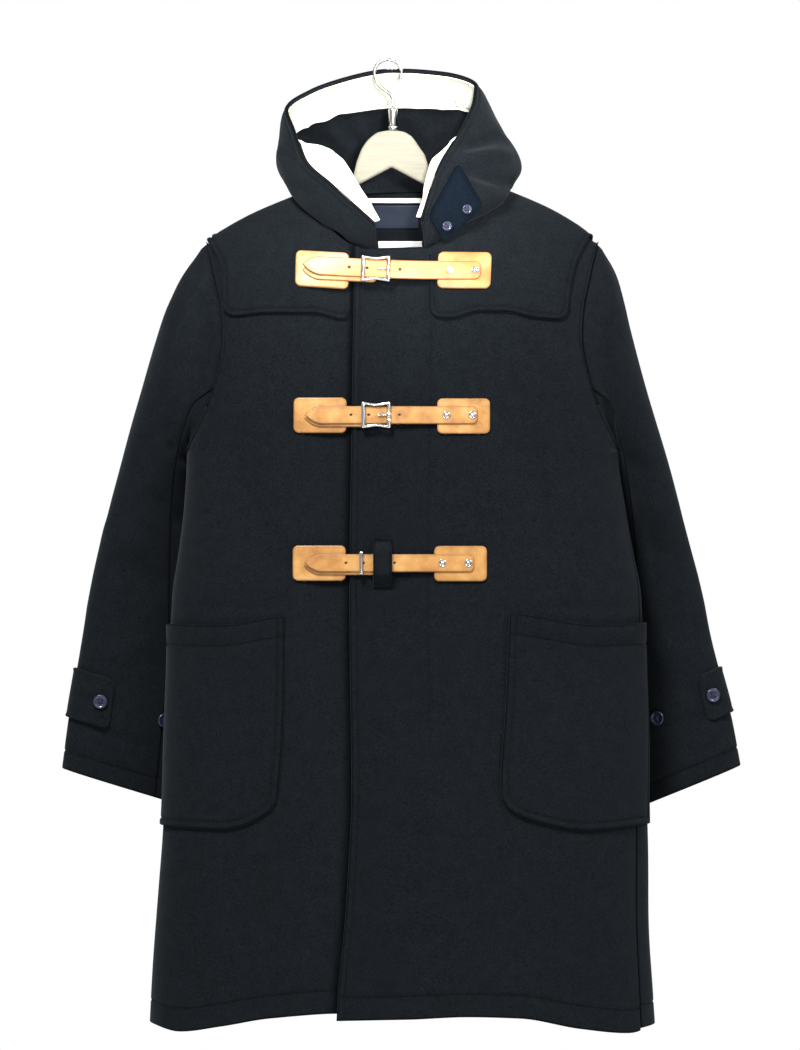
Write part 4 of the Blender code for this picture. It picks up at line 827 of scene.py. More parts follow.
def smooth_rows(knots, stack, places):
    """Rows at the given places of a smooth surface through a stack of rows."""
    widths = np.diff(knots)[:, None, None]
    steps = np.diff(stack, axis=0) / widths
    product, total = steps[:-1] * steps[1:], steps[:-1] + steps[1:]
    inner = np.where(product > 0, 2 * product / np.where(total == 0, 1, total), 0)
    slopes = np.concatenate((steps[:1], inner, steps[-1:]))
    i = np.clip(np.searchsorted(knots, places, side="right") - 1, 0, len(knots) - 2)
    width = widths[i]
    t = (places - knots[i])[:, None, None] / width
    return (
        stack[i] * (1 + 2 * t) * (1 - t) ** 2
        + slopes[i] * width * t * (1 - t) ** 2
        + stack[i + 1] * t * t * (3 - 2 * t)
        - slopes[i + 1] * width * t * t * (1 - t)
    )


def ripples(grid, size, depth):
    """Small soft ripples over a grid."""
    flat = grid.reshape(-1, 3) / size
    return depth * np.array([noise.noise(Vector(place)) for place in flat]).reshape(grid.shape[:2])


def fold_push(grid, normals, face, swell_depth=SWELL_DEPTH):
    """How far the folds push a surface out. Those of face_back are on the side away from the viewer."""
    push = np.zeros(grid.shape[:2])
    x, z = grid[..., 0], grid[..., 2]
    for name, x1, z1, x2, z2, width, depth in FOLDS:
        if name == face or face == "body" and name == "front":
            side = np.clip(0.3 - 2 * normals[..., 1], 0, 1)
        elif name == face + "_back" or face == "body" and name == "back":
            side = np.clip(0.3 + 2 * normals[..., 1], 0, 1)
        else:
            continue
        run_x, run_z = x2 - x1, z2 - z1
        length = math.hypot(run_x, run_z)
        share = ((x - x1) * run_x + (z - z1) * run_z) / length**2
        inside = np.clip(share, 0, 1)
        away = np.hypot(x - x1 - inside * run_x, z - z1 - inside * run_z)
        fade = np.clip((share + FOLD_REACH) / (1 + 2 * FOLD_REACH), 0, 1)
        push += depth * side * np.exp(-((away / width) ** 2)) * np.sin(np.pi * fade) ** 0.7
    if swell_depth:
        push += ripples(grid, SWELL_SIZE, swell_depth)
    return push


def folded(grid, normals, face, calm=1.0):
    """The grid with its face's folds; calm is how fully they show at each point."""
    return grid + normals * (fold_push(grid, normals, face) * calm)[..., None]


def edge_distances(grid):
    """The distance of each point to the grid's left, right, top and bottom edge, along the grid."""
    across = np.cumsum(np.linalg.norm(np.diff(grid, axis=1), axis=2), axis=1)
    across = np.concatenate((np.zeros((len(grid), 1)), across), axis=1)
    down = np.cumsum(np.linalg.norm(np.diff(grid, axis=0), axis=2), axis=0)
    down = np.concatenate((np.zeros((1, grid.shape[1])), down))
    return {"left": across, "right": across[:, -1:] - across, "top": down, "bottom": down[-1:] - down}


def border_distance(grid, sides=("left", "right", "top", "bottom")):
    """The distance of each point to the nearest of the grid's border lines."""
    borders = {
        "left": grid[:, 0],
        "right": grid[:, -1],
        "top": grid[0],
        "bottom": grid[-1],
    }
    flat = grid.reshape(-1, 3)
    nearest = np.full(len(flat), np.inf)
    for side in sides:
        line = borders[side]
        for a, b in zip(line[:-1], line[1:]):
            run = b - a
            share = np.clip((flat - a) @ run / max(run @ run, 1e-12), 0, 1)
            away = np.linalg.norm(flat - a - share[:, None] * run, axis=1)
            nearest = np.minimum(nearest, away)
    return nearest.reshape(grid.shape[:2])


def rounded(distance, radius, depth):
    """A rounded edge: how far the face beside it lies lowered."""
    return -depth * (1 - np.sqrt(1 - (1 - np.clip(distance / radius, 0, 1)) ** 2))


def turned_edge(distance, stitch=None):
    """The outer face beside a turned edge: rolled over at the border, raised up to a sunk, stitched line."""
    relief = rounded(distance, EDGE_ROLL, EDGE_DROP)
    if stitch:
        relief = relief + stitched(distance, stitch)
        relief = relief + WELT_RISE * np.exp(-(((distance - stitch / 2) / (stitch / 2)) ** 4))
    return relief


def stitched(distance, stitch, sink=STITCH_SINK):
    return -sink * np.exp(-(((distance - stitch) / STITCH_REACH) ** 2))


def painted_shade_of(edges=(), lines=()):
    """How dark the painted shade makes the cloth beside edges and in stitched lines, each given by its
    distances.
    """
    dark = 0.0
    for distance in edges:
        dark = np.maximum(dark, EDGE_SHADE * np.exp(-((distance / SHADE_REACH) ** 2)))
    for distance, stitch in lines:
        dark = np.maximum(dark, STITCH_SHADE * np.exp(-(((distance - stitch) / SHADE_REACH) ** 2)))
    return dark


def seam_edge(distance):
    """The outer face beside a seam, where the two pieces turn in together."""
    return -SEAM_SINK * np.exp(-distance / SEAM_REACH) + turned_edge(distance)


def add_piece(name, material, mesh):
    piece = bpy.data.objects.new(name, mesh)
    mesh.materials.append(materials[material])
    bpy.context.scene.collection.objects.link(piece)
    return piece


def finish_mesh(name, vertices, faces, uv=None, smooth_angle=None, dark=None):
    mesh = bpy.data.meshes.new(name)
    mesh.from_pydata(vertices, [], faces)
    bm = bmesh.new()
    bm.from_mesh(mesh)
    bmesh.ops.recalc_face_normals(bm, faces=bm.faces)
    bm.to_mesh(mesh)
    bm.free()
    corners = np.empty(len(mesh.loops), int)
    mesh.loops.foreach_get("vertex_index", corners)
    if uv is not None:
        layer = mesh.uv_layers.new(name="Cloth")
        layer.data.foreach_set("uv", uv[corners].ravel())
    # dark is painted shade on the wool, and on the leather the burnish with painted shade in the punched
    # holes
    if dark is not None:
        layer = mesh.attributes.new("dark", "FLOAT", "POINT")
        layer.data.foreach_set("value", dark)
    mesh.shade_smooth()
    if smooth_angle:
        mesh.set_sharp_from_angle(angle=math.radians(smooth_angle))
    return mesh


def add_wall(name, material, grid, normals, lifts, relief=0.0, inner_relief=0.0, bulge=WOOL_BULGE, dark=None):
    """A closed cloth wall over a grid, between two lifts along the normals, with a rounded rim."""
    rows, columns = grid.shape[:2]
    relief = np.broadcast_to(relief, (rows, columns))[..., None]
    inner_relief = np.broadcast_to(inner_relief, (rows, columns))[..., None]
    below = grid + normals * (lifts[0] + inner_relief)
    above = grid + normals * (lifts[1] + relief)
    number = np.arange(rows * columns).reshape(rows, columns)
    rim = [(0, j) for j in range(columns)]
    rim += [(i, columns - 1) for i in range(1, rows)]
    rim += [(rows - 1, j) for j in range(columns - 2, -1, -1)]
    rim += [(i, 0) for i in range(rows - 2, 0, -1)]
    loop = []
    for i, j in rim:
        toward = (min(max(i, 1), rows - 2), min(max(j, 1), columns - 2))
        out = (above[i, j] - above[toward]) / max(np.linalg.norm(above[i, j] - above[toward]), 1e-9)
        loop.append((above[i, j] + below[i, j]) / 2 + out * bulge)
    layer = rows * columns
    vertices = np.concatenate((below.reshape(-1, 3), above.reshape(-1, 3), np.array(loop)))
    corners = (number[:-1, :-1], number[1:, :-1], number[1:, 1:], number[:-1, 1:])
    quads = np.stack(corners, axis=-1).reshape(-1, 4)
    faces = quads.tolist() + (quads[:, ::-1] + layer).tolist()
    for k, (i, j) in enumerate(rim):
        m = (k + 1) % len(rim)
        a, b = number[i, j], number[rim[m]]
        faces.append([a, b, 2 * layer + m, 2 * layer + k])
        faces.append([2 * layer + k, 2 * layer + m, layer + b, layer + a])
    distances = edge_distances(grid)
    uv = np.stack((distances["left"], -distances["top"]), axis=-1).reshape(-1, 2)
    rim_uv = np.array([uv[number[place]] for place in rim])
    uv = np.concatenate((uv, uv, rim_uv))
    # the painted shade and burnish go on the outer face only
    if dark is not None:
        dark = np.concatenate((np.zeros(layer), dark.ravel(), np.zeros(len(rim))))
    mesh = finish_mesh(name, vertices.tolist(), faces, uv, dark=dark)
    return add_piece(name, material, mesh)


def add_wool(node, grid, normals, lifts, relief, dark=None):
    """The wool piece that stands for a CAD node."""
    made[node] = add_wall(node + "_cloth", "wool", grid, normals, lifts, relief, dark=dark)


# ---------------------------------------------------------------- body


def panel_rows():
    """The shares down a panel: fine beside the top and the hem, and even between."""
    above = marks(ABOVE_ARMPIT, round(ABOVE_ARMPIT / CLOTH_STEP))[:-1] / ABOVE_ARMPIT
    above = above[above < 1 - ARMPIT_CLEAR / ABOVE_ARMPIT]
    below = marks(BELOW_ARMPIT, round(BELOW_ARMPIT / CLOTH_STEP), (), (HEM_STITCH,)) / BELOW_ARMPIT
    below = below[below > ARMPIT_CLEAR / BELOW_ARMPIT]
    return [*above, 1.0, *(1 + share for share in below)]


def level_at_shoulder(grid, normals, top):
    """Turns the normals beside the shoulder seam so that the front and the back meet there."""
    weight = np.exp(-top / LEVEL_REACH)[..., None]
    x = grid[..., 0]
    at_shoulder = (x < NECK_SIDE["left"]) | (x > NECK_SIDE["right"])
    flat = normals.copy()
    flat[..., 1] = 0
    return unit(np.where(at_shoulder[..., None], normals * (1 - weight) + unit(flat) * weight, normals))


def panel_surface(key, start=()):
    """A panel's fine grid, with its folds, and its normals."""
    panel = PANELS[key]
    width = BACK_WIDTH if key == "back" else FRONT_WIDTH
    count = round(width / CLOTH_STEP)
    shares = np.linspace(0, 1, 2 * DENSE if key == "back" else DENSE)
    rows = []
    for s in panel_rows():
        dense = np.array([panel.point(f, s) for f in shares])
        rows.append(spaced(dense, count, start))
    grid = np.array(rows)
    normals = normals_of(grid, panel.sign)
    normals = level_at_shoulder(grid, normals, edge_distances(grid)["top"])
    return folded(grid, normals, "body"), normals


def build_body():
    for key in ("left", "right", "back"):
        start = (FRONT_STITCH, PLACKET_LINE) if key == "right" else ()
        grid, normals = panel_surface(key, start)
        away = edge_distances(grid)
        relief = turned_edge(away["bottom"]) + stitched(away["bottom"], HEM_STITCH)
        relief = relief + seam_edge(away["top"]) + seam_edge(away["right"])
        # painted shade at the panel's edges and in its hem's stitched line
        edges = [away[edge] for edge in ("top", "bottom", "right", "left")]
        dark = painted_shade_of(edges, [(away["bottom"], HEM_STITCH)])
        if key == "right":
            relief = relief + turned_edge(away["left"], FRONT_STITCH)
            below_yoke = smooth_steps(*PLACKET_START, away["top"])
            below_yoke = below_yoke * smooth_steps(*PLACKET_END, away["bottom"])
            relief = relief + PLACKET_SHARE * stitched(away["left"], PLACKET_LINE) * below_yoke
            # painted shade in the front's stitched lines
            dark = np.maximum(dark, painted_shade_of((), [(away["left"], FRONT_STITCH)]))
            placket = painted_shade_of((), [(away["left"], PLACKET_LINE)])
            dark = np.maximum(dark, PLACKET_SHARE * below_yoke * placket)
        elif key == "left":
            relief = relief + turned_edge(away["left"])
            # a painted shadow on the left front beside the right front's free edge
            to_edge = np.maximum(np.vectorize(closing_edge_at)(grid[..., 2]) - grid[..., 0], 0)
            dark = np.maximum(dark, CLOSING_SHADE * np.exp(-((to_edge / CLOSING_SHADE_REACH) ** 2)))
        else:
            relief = relief + seam_edge(away["left"])
        add_wool("back" if key == "back" else "front_" + key, grid, normals, (0, WALL), relief, dark)


def smooth_steps(low, high, values):
    t = np.clip((values - low) / (high - low), 0, 1)
    return t * t * (3 - 2 * t)


def sleeve_ring(side, angles, inset=0.0, lift=WALL):
    """The armhole's outer face at angles round the sleeve, or a line inset on the panel with another lift."""
    front, back = PANELS[side], PANELS["back"]
    back_f = 1.0 if side == "left" else 0.0
    ring = []
    for angle in angles:
        turn = angle % (2 * math.pi)
        s = (1 - math.cos(turn)) / 2
        panel, f = (front, 1.0) if turn <= math.pi else (back, back_f)
        normal = panel.normal(f, s)
        if inset:
            f = f - inset / FRONT_WIDTH if panel is front else abs(f - inset / BACK_WIDTH)
        ring.append(panel.point(f, s) + normal * lift)
    return ring


def sleeve_point(side, row, angle):
    """A point of a sleeve's outer face at a row of its table."""
    values = SLEEVES[side][row]
    outer, inner = Vector(values[:3]), Vector(values[3:6])
    half_depth, belly = values[6:]
    power = 2 / SLEEVE_SQUARENESS
    place = (outer + inner) / 2 + (outer - inner) / 2 * signed_power(math.cos(angle), power)
    place.y -= half_depth * signed_power(math.sin(angle), power)
    place.x += (belly if side == "left" else -belly) * math.sin(angle) ** 2
    return place


def sleeve_stack(side, angles):
    """The armhole and the rows of the table, at angles round the sleeve."""
    stack = [sleeve_ring(side, angles)]
    stack += [[sleeve_point(side, row, a) for a in angles] for row in range(len(SLEEVES[side]))]
    return np.array(stack)


def sleeve_knots(side):
    """The rows' places, by the mean distance from the armhole."""
    stack = sleeve_stack(side, np.linspace(0, 2 * math.pi, 48, endpoint=False))
    steps = np.linalg.norm(np.diff(stack, axis=0), axis=2).mean(axis=1)
    return np.concatenate(([0.0], np.cumsum(steps)))


def build_sleeve(side):
    sign = 1 if side == "left" else -1
    knots = sleeve_knots(side)
    places = marks(knots[-1], round(knots[-1] / CLOTH_STEP), (), (CUFF_STITCH,))
    places[0] = SLEEVE_START
    seam = math.acos(1 - 2 * SLEEVE_SEAM_SHARE)
    spans = {"sleeve_top_": (-seam, seam), "sleeve_under_": (seam, 2 * math.pi - seam)}
    for prefix, (low, high) in spans.items():
        angles = np.linspace(low, high, DENSE)
        dense = smooth_rows(knots, sleeve_stack(side, angles), places)
        count = round(runs_of(dense[len(dense) // 2])[-1] / CLOTH_STEP)
        grid = np.array([spaced(row, count) for row in dense])
        normals = normals_of(grid, sign)
        away = edge_distances(grid)
        calm = smooth_steps(0.0, ARMHOLE_CALM, away["top"])
        calm = calm * smooth_steps(0.0, SEAM_CALM, np.minimum(away["left"], away["right"]))
        grid = folded(grid, normals, "sleeve_" + side, calm)
        relief = turned_edge(away["bottom"]) + stitched(away["bottom"], CUFF_STITCH)
        relief = relief + seam_edge(away["left"]) + seam_edge(away["right"]) + seam_edge(away["top"])
        if prefix == "sleeve_top_":
            relief = relief + HEAD_RISE * np.exp(-(((away["top"] - HEAD_PLACE) / HEAD_REACH) ** 2))
        # painted shade at the sleeve's edges and in its cuff's stitched line
        edges = [away[edge] for edge in ("top", "bottom", "left", "right")]
        dark = painted_shade_of(edges, [(away["bottom"], CUFF_STITCH)])
        # the sleeve runs on under the body's cloth, as a seam's allowance does
        rings = [np.array(sleeve_ring(side, angles, inset, lift)) for inset, lift in TUCK]
        under = [spaced(ring, count) for ring in rings]
        grid = np.concatenate((under, grid))
        normals = np.concatenate((np.repeat(normals[:1], len(TUCK), axis=0), normals))
        relief = np.concatenate((np.zeros((len(TUCK), grid.shape[1])), relief))
        # the rows tucked under the body are painted in full shade
        dark = np.concatenate((np.ones((len(TUCK), grid.shape[1])), dark))
        add_wool(prefix + side, grid, normals, (-WALL, 0), relief, dark)


def panel_patch(panel, places, sign):
    """The folded surface at a grid of (x, z) places on a panel, and its normals."""
    rows = []
    for line in places:
        row = []
        for x, z in line:
            f = min(1.0, max(0.0, panel.share_across(x, z)))
            row.append(panel.point(f, max(0.0, panel.share_down(f, z))))
        rows.append(row)
    grid = np.array(rows)
    normals = normals_of(grid, sign)
    normals = level_at_shoulder(grid, normals, edge_distances(grid)["top"])
    return folded(grid, normals, "body"), normals


def corner_rise(away, radius):
    """How much a rounded corner lifts an edge at a distance from the neighbouring edge."""
    short = max(0.0, radius - away)
    return radius - math.sqrt(max(0.0, radius**2 - short**2))


def build_front_yoke(side):
    numbers = YOKES[side]
    panel = PANELS[side]
    lower_at, outer_at = curve_through(numbers["lower"]), curve_through(numbers["outer"])
    inner = numbers["inner_x"]
    width = abs(outer_at(YOKE_SIDE_Z) - inner)
    across = marks(width, round(width / PIECE_STEP), (YOKE_STITCH,), (YOKE_STITCH,)) / width
    height = FRONT_YOKE_HEIGHT
    down = marks(height, round(height / PIECE_STEP), (), (YOKE_STITCH,)) / height
    places = []
    for v in down:
        line = []
        for u in across:
            x, z = lerp(inner, outer_at(YOKE_SIDE_Z), u), YOKE_SIDE_Z
            for _ in range(SLANT_ROUNDS):
                at_neck = NECK_SIDE["left"] < x < NECK_SIDE["right"]
                top = top_z("front", x) - (NECK_MARGIN if at_neck else 0)
                low = lower_at(x)
                low += corner_rise(abs(x - inner), numbers["corner"])
                low += corner_rise(abs(outer_at(low) - x), numbers["corner"])
                z = lerp(top, low, v)
                x = lerp(inner, outer_at(z), u)
            line.append((x, z))
        places.append(line)
    grid, normals = panel_patch(panel, places, panel.sign)
    sides = ("left", "right", "bottom") if side == "right" else ("right", "bottom")
    finish_yoke("yoke_front_" + side, grid, normals, sides)


def finish_yoke(node, grid, normals, sides):
    """The yoke's wall, with a welt beside its free sides."""
    border = border_distance(grid, sides)
    relief = turned_edge(border, YOKE_STITCH) + turned_edge(edge_distances(grid)["top"])
    low = WALL + YOKE_LIFT
    # painted shade at the yoke's free sides and in its stitched line
    add_wool(node, grid, normals, (low, low + WALL), relief, painted_shade_of([border], [(border, YOKE_STITCH)]))


def build_back_yoke():
    panel = PANELS["back"]
    first, last = BACK_YOKE["outer"]
    width, height = BACK_YOKE["size"]
    across = marks(width, round(width / CLOTH_STEP), (YOKE_STITCH,), (YOKE_STITCH,)) / width
    down = marks(height, round(height / PIECE_STEP), (), (YOKE_STITCH,)) / height
    rows = []
    for v in down:
        row = []
        for u in across:
            f = lerp(first, last, u)
            margin = 0.0
            if NECK_SIDE["left"] < panel.point(f, 0).x < NECK_SIDE["right"]:
                margin = NECK_MARGIN
            low = BACK_YOKE["lower_z"] + corner_rise(min(u, 1 - u) * width, BACK_YOKE["corner"])
            top_share = panel.share_down(f, panel.top(f) - margin)
            row.append(panel.point(f, lerp(top_share, panel.share_down(f, low), v)))
        rows.append(row)
    grid = np.array(rows)
    normals = normals_of(grid, panel.sign)
    normals = level_at_shoulder(grid, normals, edge_distances(grid)["top"])
    finish_yoke("yoke_back", folded(grid, normals, "body"), normals, ("left", "right", "bottom"))


def build_pocket(side):
    """A patch pocket that starts on the front and wraps round the side."""
    sign = -1 if side == "left" else 1
    inner_at = curve_through(POCKET_INNER[side])
    width, height = POCKET_SIZE
    across = marks(width, round(width / PIECE_STEP), (POCKET_STITCH,), (POCKET_STITCH,)) / width
    down = marks(height, round(height / PIECE_STEP), (POCKET_HEM,), (POCKET_STITCH,)) / height
    rows = []
    for v in down:
        row = []
        for u in np.linspace(0, 1, POCKET_SAMPLES):
            z = POCKET_MIDDLE_Z
            for _ in range(SLANT_ROUNDS):
                first = angle_of(inner_at(z), z)
                last = sign * (side_seam_at[side](z) + POCKET_WRAP)
                angle = lerp(first, last, u)
                x = body_point(angle, z).x
                low = pocket_bottom_at(x) + corner_rise(u * width, POCKET_CORNER)
                z = lerp(pocket_top_at(x), low, v)
            row.append(body_point(angle, z))
        row = np.array(row)
        runs = runs_of(row)
        places = across * runs[-1]
        rows.append(np.stack([np.interp(places, runs, row[:, k]) for k in range(3)], axis=1))
    grid = np.array(rows)
    normals = normals_of(grid, sign)
    grid = folded(grid, normals, "body")
    away = edge_distances(grid)
    from_side = np.clip(np.minimum(away["left"], away["right"]) / GAPE_SIDE, 0, 1)
    gape = POCKET_GAPE[side] * np.exp(-((away["top"] / GAPE_REACH) ** 2))
    grid = grid + normals * (gape * np.sin(np.pi / 2 * from_side) ** 2)[..., None]
    border = border_distance(grid, ("left", "right", "bottom"))
    relief = turned_edge(border, POCKET_STITCH)
    relief = relief + turned_edge(away["top"]) + stitched(away["top"], POCKET_HEM)
    relief = relief + POCKET_HEM_RISE * np.exp(-((away["top"] / POCKET_HEM_REACH) ** 6))
    low = WALL + LAY_GAP
    # painted shade at the pocket's edges and in its stitched lines
    dark = painted_shade_of([border, away["top"]], [(border, POCKET_STITCH), (away["top"], POCKET_HEM)])
    add_wool("pocket_" + side, grid, normals, (low, low + WALL), relief, dark)


# ---------------------------------------------------------------- hood


def hood_columns(alongs):
    """The four points of each column's curve, from the rim to the neck seam."""
    columns = []
    for along in alongs:
        values = [value(along) for value in hood_at]
        rim, rim_pull, neck_pull = Vector(values[:3]), Vector(values[3:6]), Vector(values[6:])
        neck = neck_point(along)[0]
        columns.append((rim, rim + rim_pull, neck + neck_pull, neck))
    return np.array(columns)


def hood_surface(alongs, shares):
    """The hood's inner face: shares run from 0 at the rim to 1 at the neck, one value or one a column."""
    a, b, c, d = np.moveaxis(hood_columns(alongs), 1, 0)
    rows = []
    for share in shares:
        t = np.broadcast_to(share, len(alongs))[:, None]
        rows.append(a * (1 - t) ** 3 + b * 3 * t * (1 - t) ** 2 + c * 3 * t * t * (1 - t) + d * t**3)
    return np.array(rows)


def hood_shares(alongs, places):
    """For each row of places, one for each column, the share at which the column has run that far."""
    dense = np.linspace(0, 1, DENSE)
    surface = hood_surface(alongs, dense)
    columns = np.array(places).T
    shares = [np.interp(column, runs_of(surface[:, j]), dense) for j, column in enumerate(columns)]
    return np.array(shares).T


def hood_lengths(alongs):
    """Each column's length from the rim to the neck seam."""
    surface = hood_surface(alongs, np.linspace(0, 1, DENSE))
    return [runs_of(surface[:, j])[-1] for j in range(len(alongs))]


def hood_alongs(low, high):
    """The columns of a part of the hood, spaced evenly along its rim."""
    dense = np.linspace(low, high, DENSE)
    runs = runs_of(hood_columns(dense)[:, 0])
    count = round(runs[-1] / PIECE_STEP)
    return np.interp(marks(runs[-1], count, (SEAM_STITCH,), (SEAM_STITCH,)), runs, dense)


def build_hood():
    base = beside_lines((RIM_STITCH,))
    for side, low, high in (("left", -1.0, -HOOD_CENTRE), ("right", HOOD_CENTRE, 1.0)):
        alongs = hood_alongs(low, high)
        lengths = hood_lengths(alongs)
        places = [[place for _ in lengths] for place in base]
        for k in range(1, HOOD_ROWS + 1):
            places.append([lerp(base[-1], length - NECK_REACH, k / HOOD_ROWS) for length in lengths])
        places += [[length - place for length in lengths] for place in reversed(FINE)]
        grid = hood_surface(alongs, hood_shares(alongs, places))
        normals = normals_of(grid, -1)
        for j, along in enumerate(alongs):
            normals[-1, j] = neck_point(along)[1]
        away = edge_distances(grid)
        near_neck = np.exp(-away["bottom"] / NECK_REACH)[..., None]
        normals = unit(normals * (1 - near_neck) + normals[-1:] * near_neck)
        calm = smooth_steps(0.0, SEAM_CALM, away["top"]) * smooth_steps(0.0, SEAM_CALM, away["bottom"])
        grid = folded(grid, normals, "hood", calm)
        centre, front = (away["right"], away["left"]) if side == "left" else (away["left"], away["right"])
        relief = turned_edge(away["top"], RIM_STITCH) + seam_edge(away["bottom"])
        relief = relief + seam_edge(centre) + stitched(centre, SEAM_STITCH) + turned_edge(front)
        # painted shade at the hood's rim, neck and centre seam and in the rim's stitched line
        dark = painted_shade_of([away["top"], away["bottom"], centre], [(away["top"], RIM_STITCH)])
        add_wool("hood_" + side, grid, normals, (0, WALL), relief, dark)


def facing_part(width, k):
    """The place of the k-th of the facing's rows, from the rim: fine beside both its edges."""
    scale = min(FACING_FULL, width) / FACING_FULL
    near = FINE[-1] * scale
    after_fine = k - len(FINE)
    if after_fine < 0:
        return FINE[k] * scale
    if after_fine < FACING_ROWS:
        return lerp(near, width - near, (after_fine + 1) / FACING_ROWS)
    return width - FINE[len(FINE) - 2 - (after_fine - FACING_ROWS)] * scale


def build_facing():
    """The facing lies in the hood along the rim's top, and stands off it, turned forward, at the neck."""
    alongs = hood_alongs(-FACING_END, FACING_END)
    rows = range(2 * len(FINE) - 1 + FACING_ROWS)
    widths = [facing_width_at(along) for along in alongs]
    places = [[FACING_INSET + facing_part(width, k) for width in widths] for k in rows]
    lying = hood_surface(alongs, hood_shares(alongs, places))
    normals = normals_of(lying, -1)
    calm = smooth_steps(0.0, SEAM_CALM, edge_distances(lying)["top"] + FACING_INSET)
    lying = folded(lying, normals, "hood", calm)
    grid = lying.copy()
    for j, along in enumerate(alongs):
        *reach, stands = (value(along) for value in facing_reach_at)
        reach = np.array(reach)
        width = np.linalg.norm(reach)
        rim = np.array([value(along) for value in hood_at[:3]])
        shares = [(FACING_START + facing_part(width - FACING_START, k)) / width for k in rows]
        standing = rim + np.array(shares)[:, None] * reach
        grid[:, j] += (standing - lying[:, j]) * min(1.0, max(0.0, stands))
    normals = normals_of(grid, -1)
    grid = grid + normals * fold_push(grid, normals, "facing", 0.0)[..., None]
    calm = smooth_steps(0.0, FACING_CALM, edge_distances(grid)["top"])
    # the inner face is the one that shows, so its border is the one that rolls
    show = -turned_edge(border_distance(grid, ("bottom",)), FACING_STITCH)
    show = show + ripples(grid, *FACING_RIPPLE) * calm
    lifts = (-FACING_GAP - FACING_WALL, -FACING_GAP)
    wall = add_wall("hood_facing_cloth", "facing", grid, normals, lifts, 0, show, bulge=THIN_BULGE)
    made["hood_facing"] = wall


# ---------------------------------------------------------------- leather and small parts


def front_patch(xs, zs, lift):
    """The buttoned front's surface at a grid of x and z, lifted off the inner face."""
    rows = []
    for row_x, row_z, row_lift in zip(xs, zs, lift):
        rows.append([front_place(x, z, up)[0] for x, z, up in zip(row_x, row_z, row_lift)])
    grid = np.array(rows)
    return grid, normals_of(grid, 1)


def front_place(x, z, lift):
    """A place over the buttoned front at x and z, lifted off the inner face, with the normal there."""
    angle = angle_of(x, z)
    turn, rise = FRONT_STEPS
    place = body_point(angle, z)
    across = body_point(angle + turn, z) - body_point(angle - turn, z)
    up = body_point(angle, z + rise) - body_point(angle, z - rise)
    normal = across.cross(up).normalized()
    return place + normal * lift, normal


def facing_matrix(place, normal):
    """A frame at place whose Z is the normal and whose X lies level."""
    normal = Vector(normal)
    level = Vector((0, 0, 1)).cross(normal).normalized()
    return Matrix.Translation(place) @ Matrix((level, normal.cross(level), normal)).transposed().to_4x4()


def turned(x, z, middle, degrees):
    """x and z, turned about middle in the picture's plane."""
    a = math.radians(degrees)
    dx, dz = x - middle[0], z - middle[1]
    return middle[0] + dx * math.cos(a) - dz * math.sin(a), middle[1] + dx * math.sin(a) + dz * math.cos(a)


def tile(width, height, corner, step):
    """A rounded rectangle's grid of (x, z) from its middle, left to right and top to bottom."""
    across = marks(width, max(2, round(width / step)))
    down = marks(height, max(2, round(height / step))) / height
    xs, zs = [], []
    for v in down:
        row_x, row_z = [], []
        for place in across:
            half = height / 2 - corner_rise(min(place, width - place), corner)
            row_x.append(place - width / 2)
            row_z.append(lerp(half, -half, v))
        xs.append(row_x)
        zs.append(row_z)
    return np.array(xs), np.array(zs)


def build_patch(tag, side, middle, tilt, lift):
    xs, zs = tile(*PATCH_SIZE, PATCH_CORNER, PATCH_STEP)
    x, z = turned(xs + middle[0], zs + middle[1], middle, tilt)
    grid, normals = front_patch(x, z, np.full(x.shape, lift))
    border = border_distance(grid)
    relief = rounded(border, PATCH_ROLL, PATCH_DROP)
    relief = relief - PATCH_GROOVE * np.exp(-(((border - PATCH_LINE) / PATCH_LINE_REACH) ** 2))
    add_leather(f"patch_{tag}_{side}", grid, normals, PATCH_WALL, relief, np.exp(-border / PATCH_BURNISH))


def add_leather(node, grid, normals, thick, relief, dark):
    """The leather piece that stands for a CAD node."""
    lifts = (0, thick)
    name = node + "_leather"
    made[node] = add_wall(name, "leather", grid, normals, lifts, relief, bulge=LEATHER_BULGE, dark=dark)


def strap_grid(x_from, x_to, z, tilt, lift):
    """A strap's grid: pointed at x_from and rounded at x_to."""
    length = x_to - x_from
    across = marks(length, round(length / STRAP_STEP))
    half = STRAP_WIDTH / 2
    down = marks(STRAP_WIDTH, round(STRAP_WIDTH / STRAP_STEP)) / STRAP_WIDTH
    middle = ((x_from + x_to) / 2, z)
    xs, zs = [], []
    for v in down:
        row_x, row_z = [], []
        for place in across:
            short = max(0.0, 1 - place / STRAP_POINT)
            tall = half * max(STRAP_TIP, (1 - short**1.7) ** 0.8)
            tall -= corner_rise(length - place, STRAP_CORNER)
            row_x.append(x_from + place)
            row_z.append(z + lerp(tall, -tall, v))
        xs.append(row_x)
        zs.append(row_z)
    xs, zs = turned(np.array(xs), np.array(zs), middle, tilt)
    return (*front_patch(xs, zs, np.vectorize(lift)(xs)), xs, zs)


def build_strap(node, tilt, x_from, x_to, z, lift, holes=()):
    grid, normals, xs, zs = strap_grid(x_from, x_to, z, tilt, lift)
    border = border_distance(grid)
    relief = rounded(border, STRAP_ROLL, STRAP_DROP)
    relief = relief - STRAP_GROOVE * np.exp(-(((border - STRAP_LINE) / STRAP_LINE_REACH) ** 2))
    dark = np.exp(-border / STRAP_BURNISH)
    for hole in holes:
        middle = turned(hole, z, ((x_from + x_to) / 2, z), tilt)
        away = np.hypot(xs - middle[0], zs - middle[1])
        punched = 1 - smooth_steps(*HOLE_WALL, away)
        relief = relief - HOLE_DEPTH * punched
        # painted shade in the punched hole
        dark = np.maximum(dark, HOLE_SHADE * punched)
    add_leather(node, grid, normals, STRAP_WALL, relief, dark)


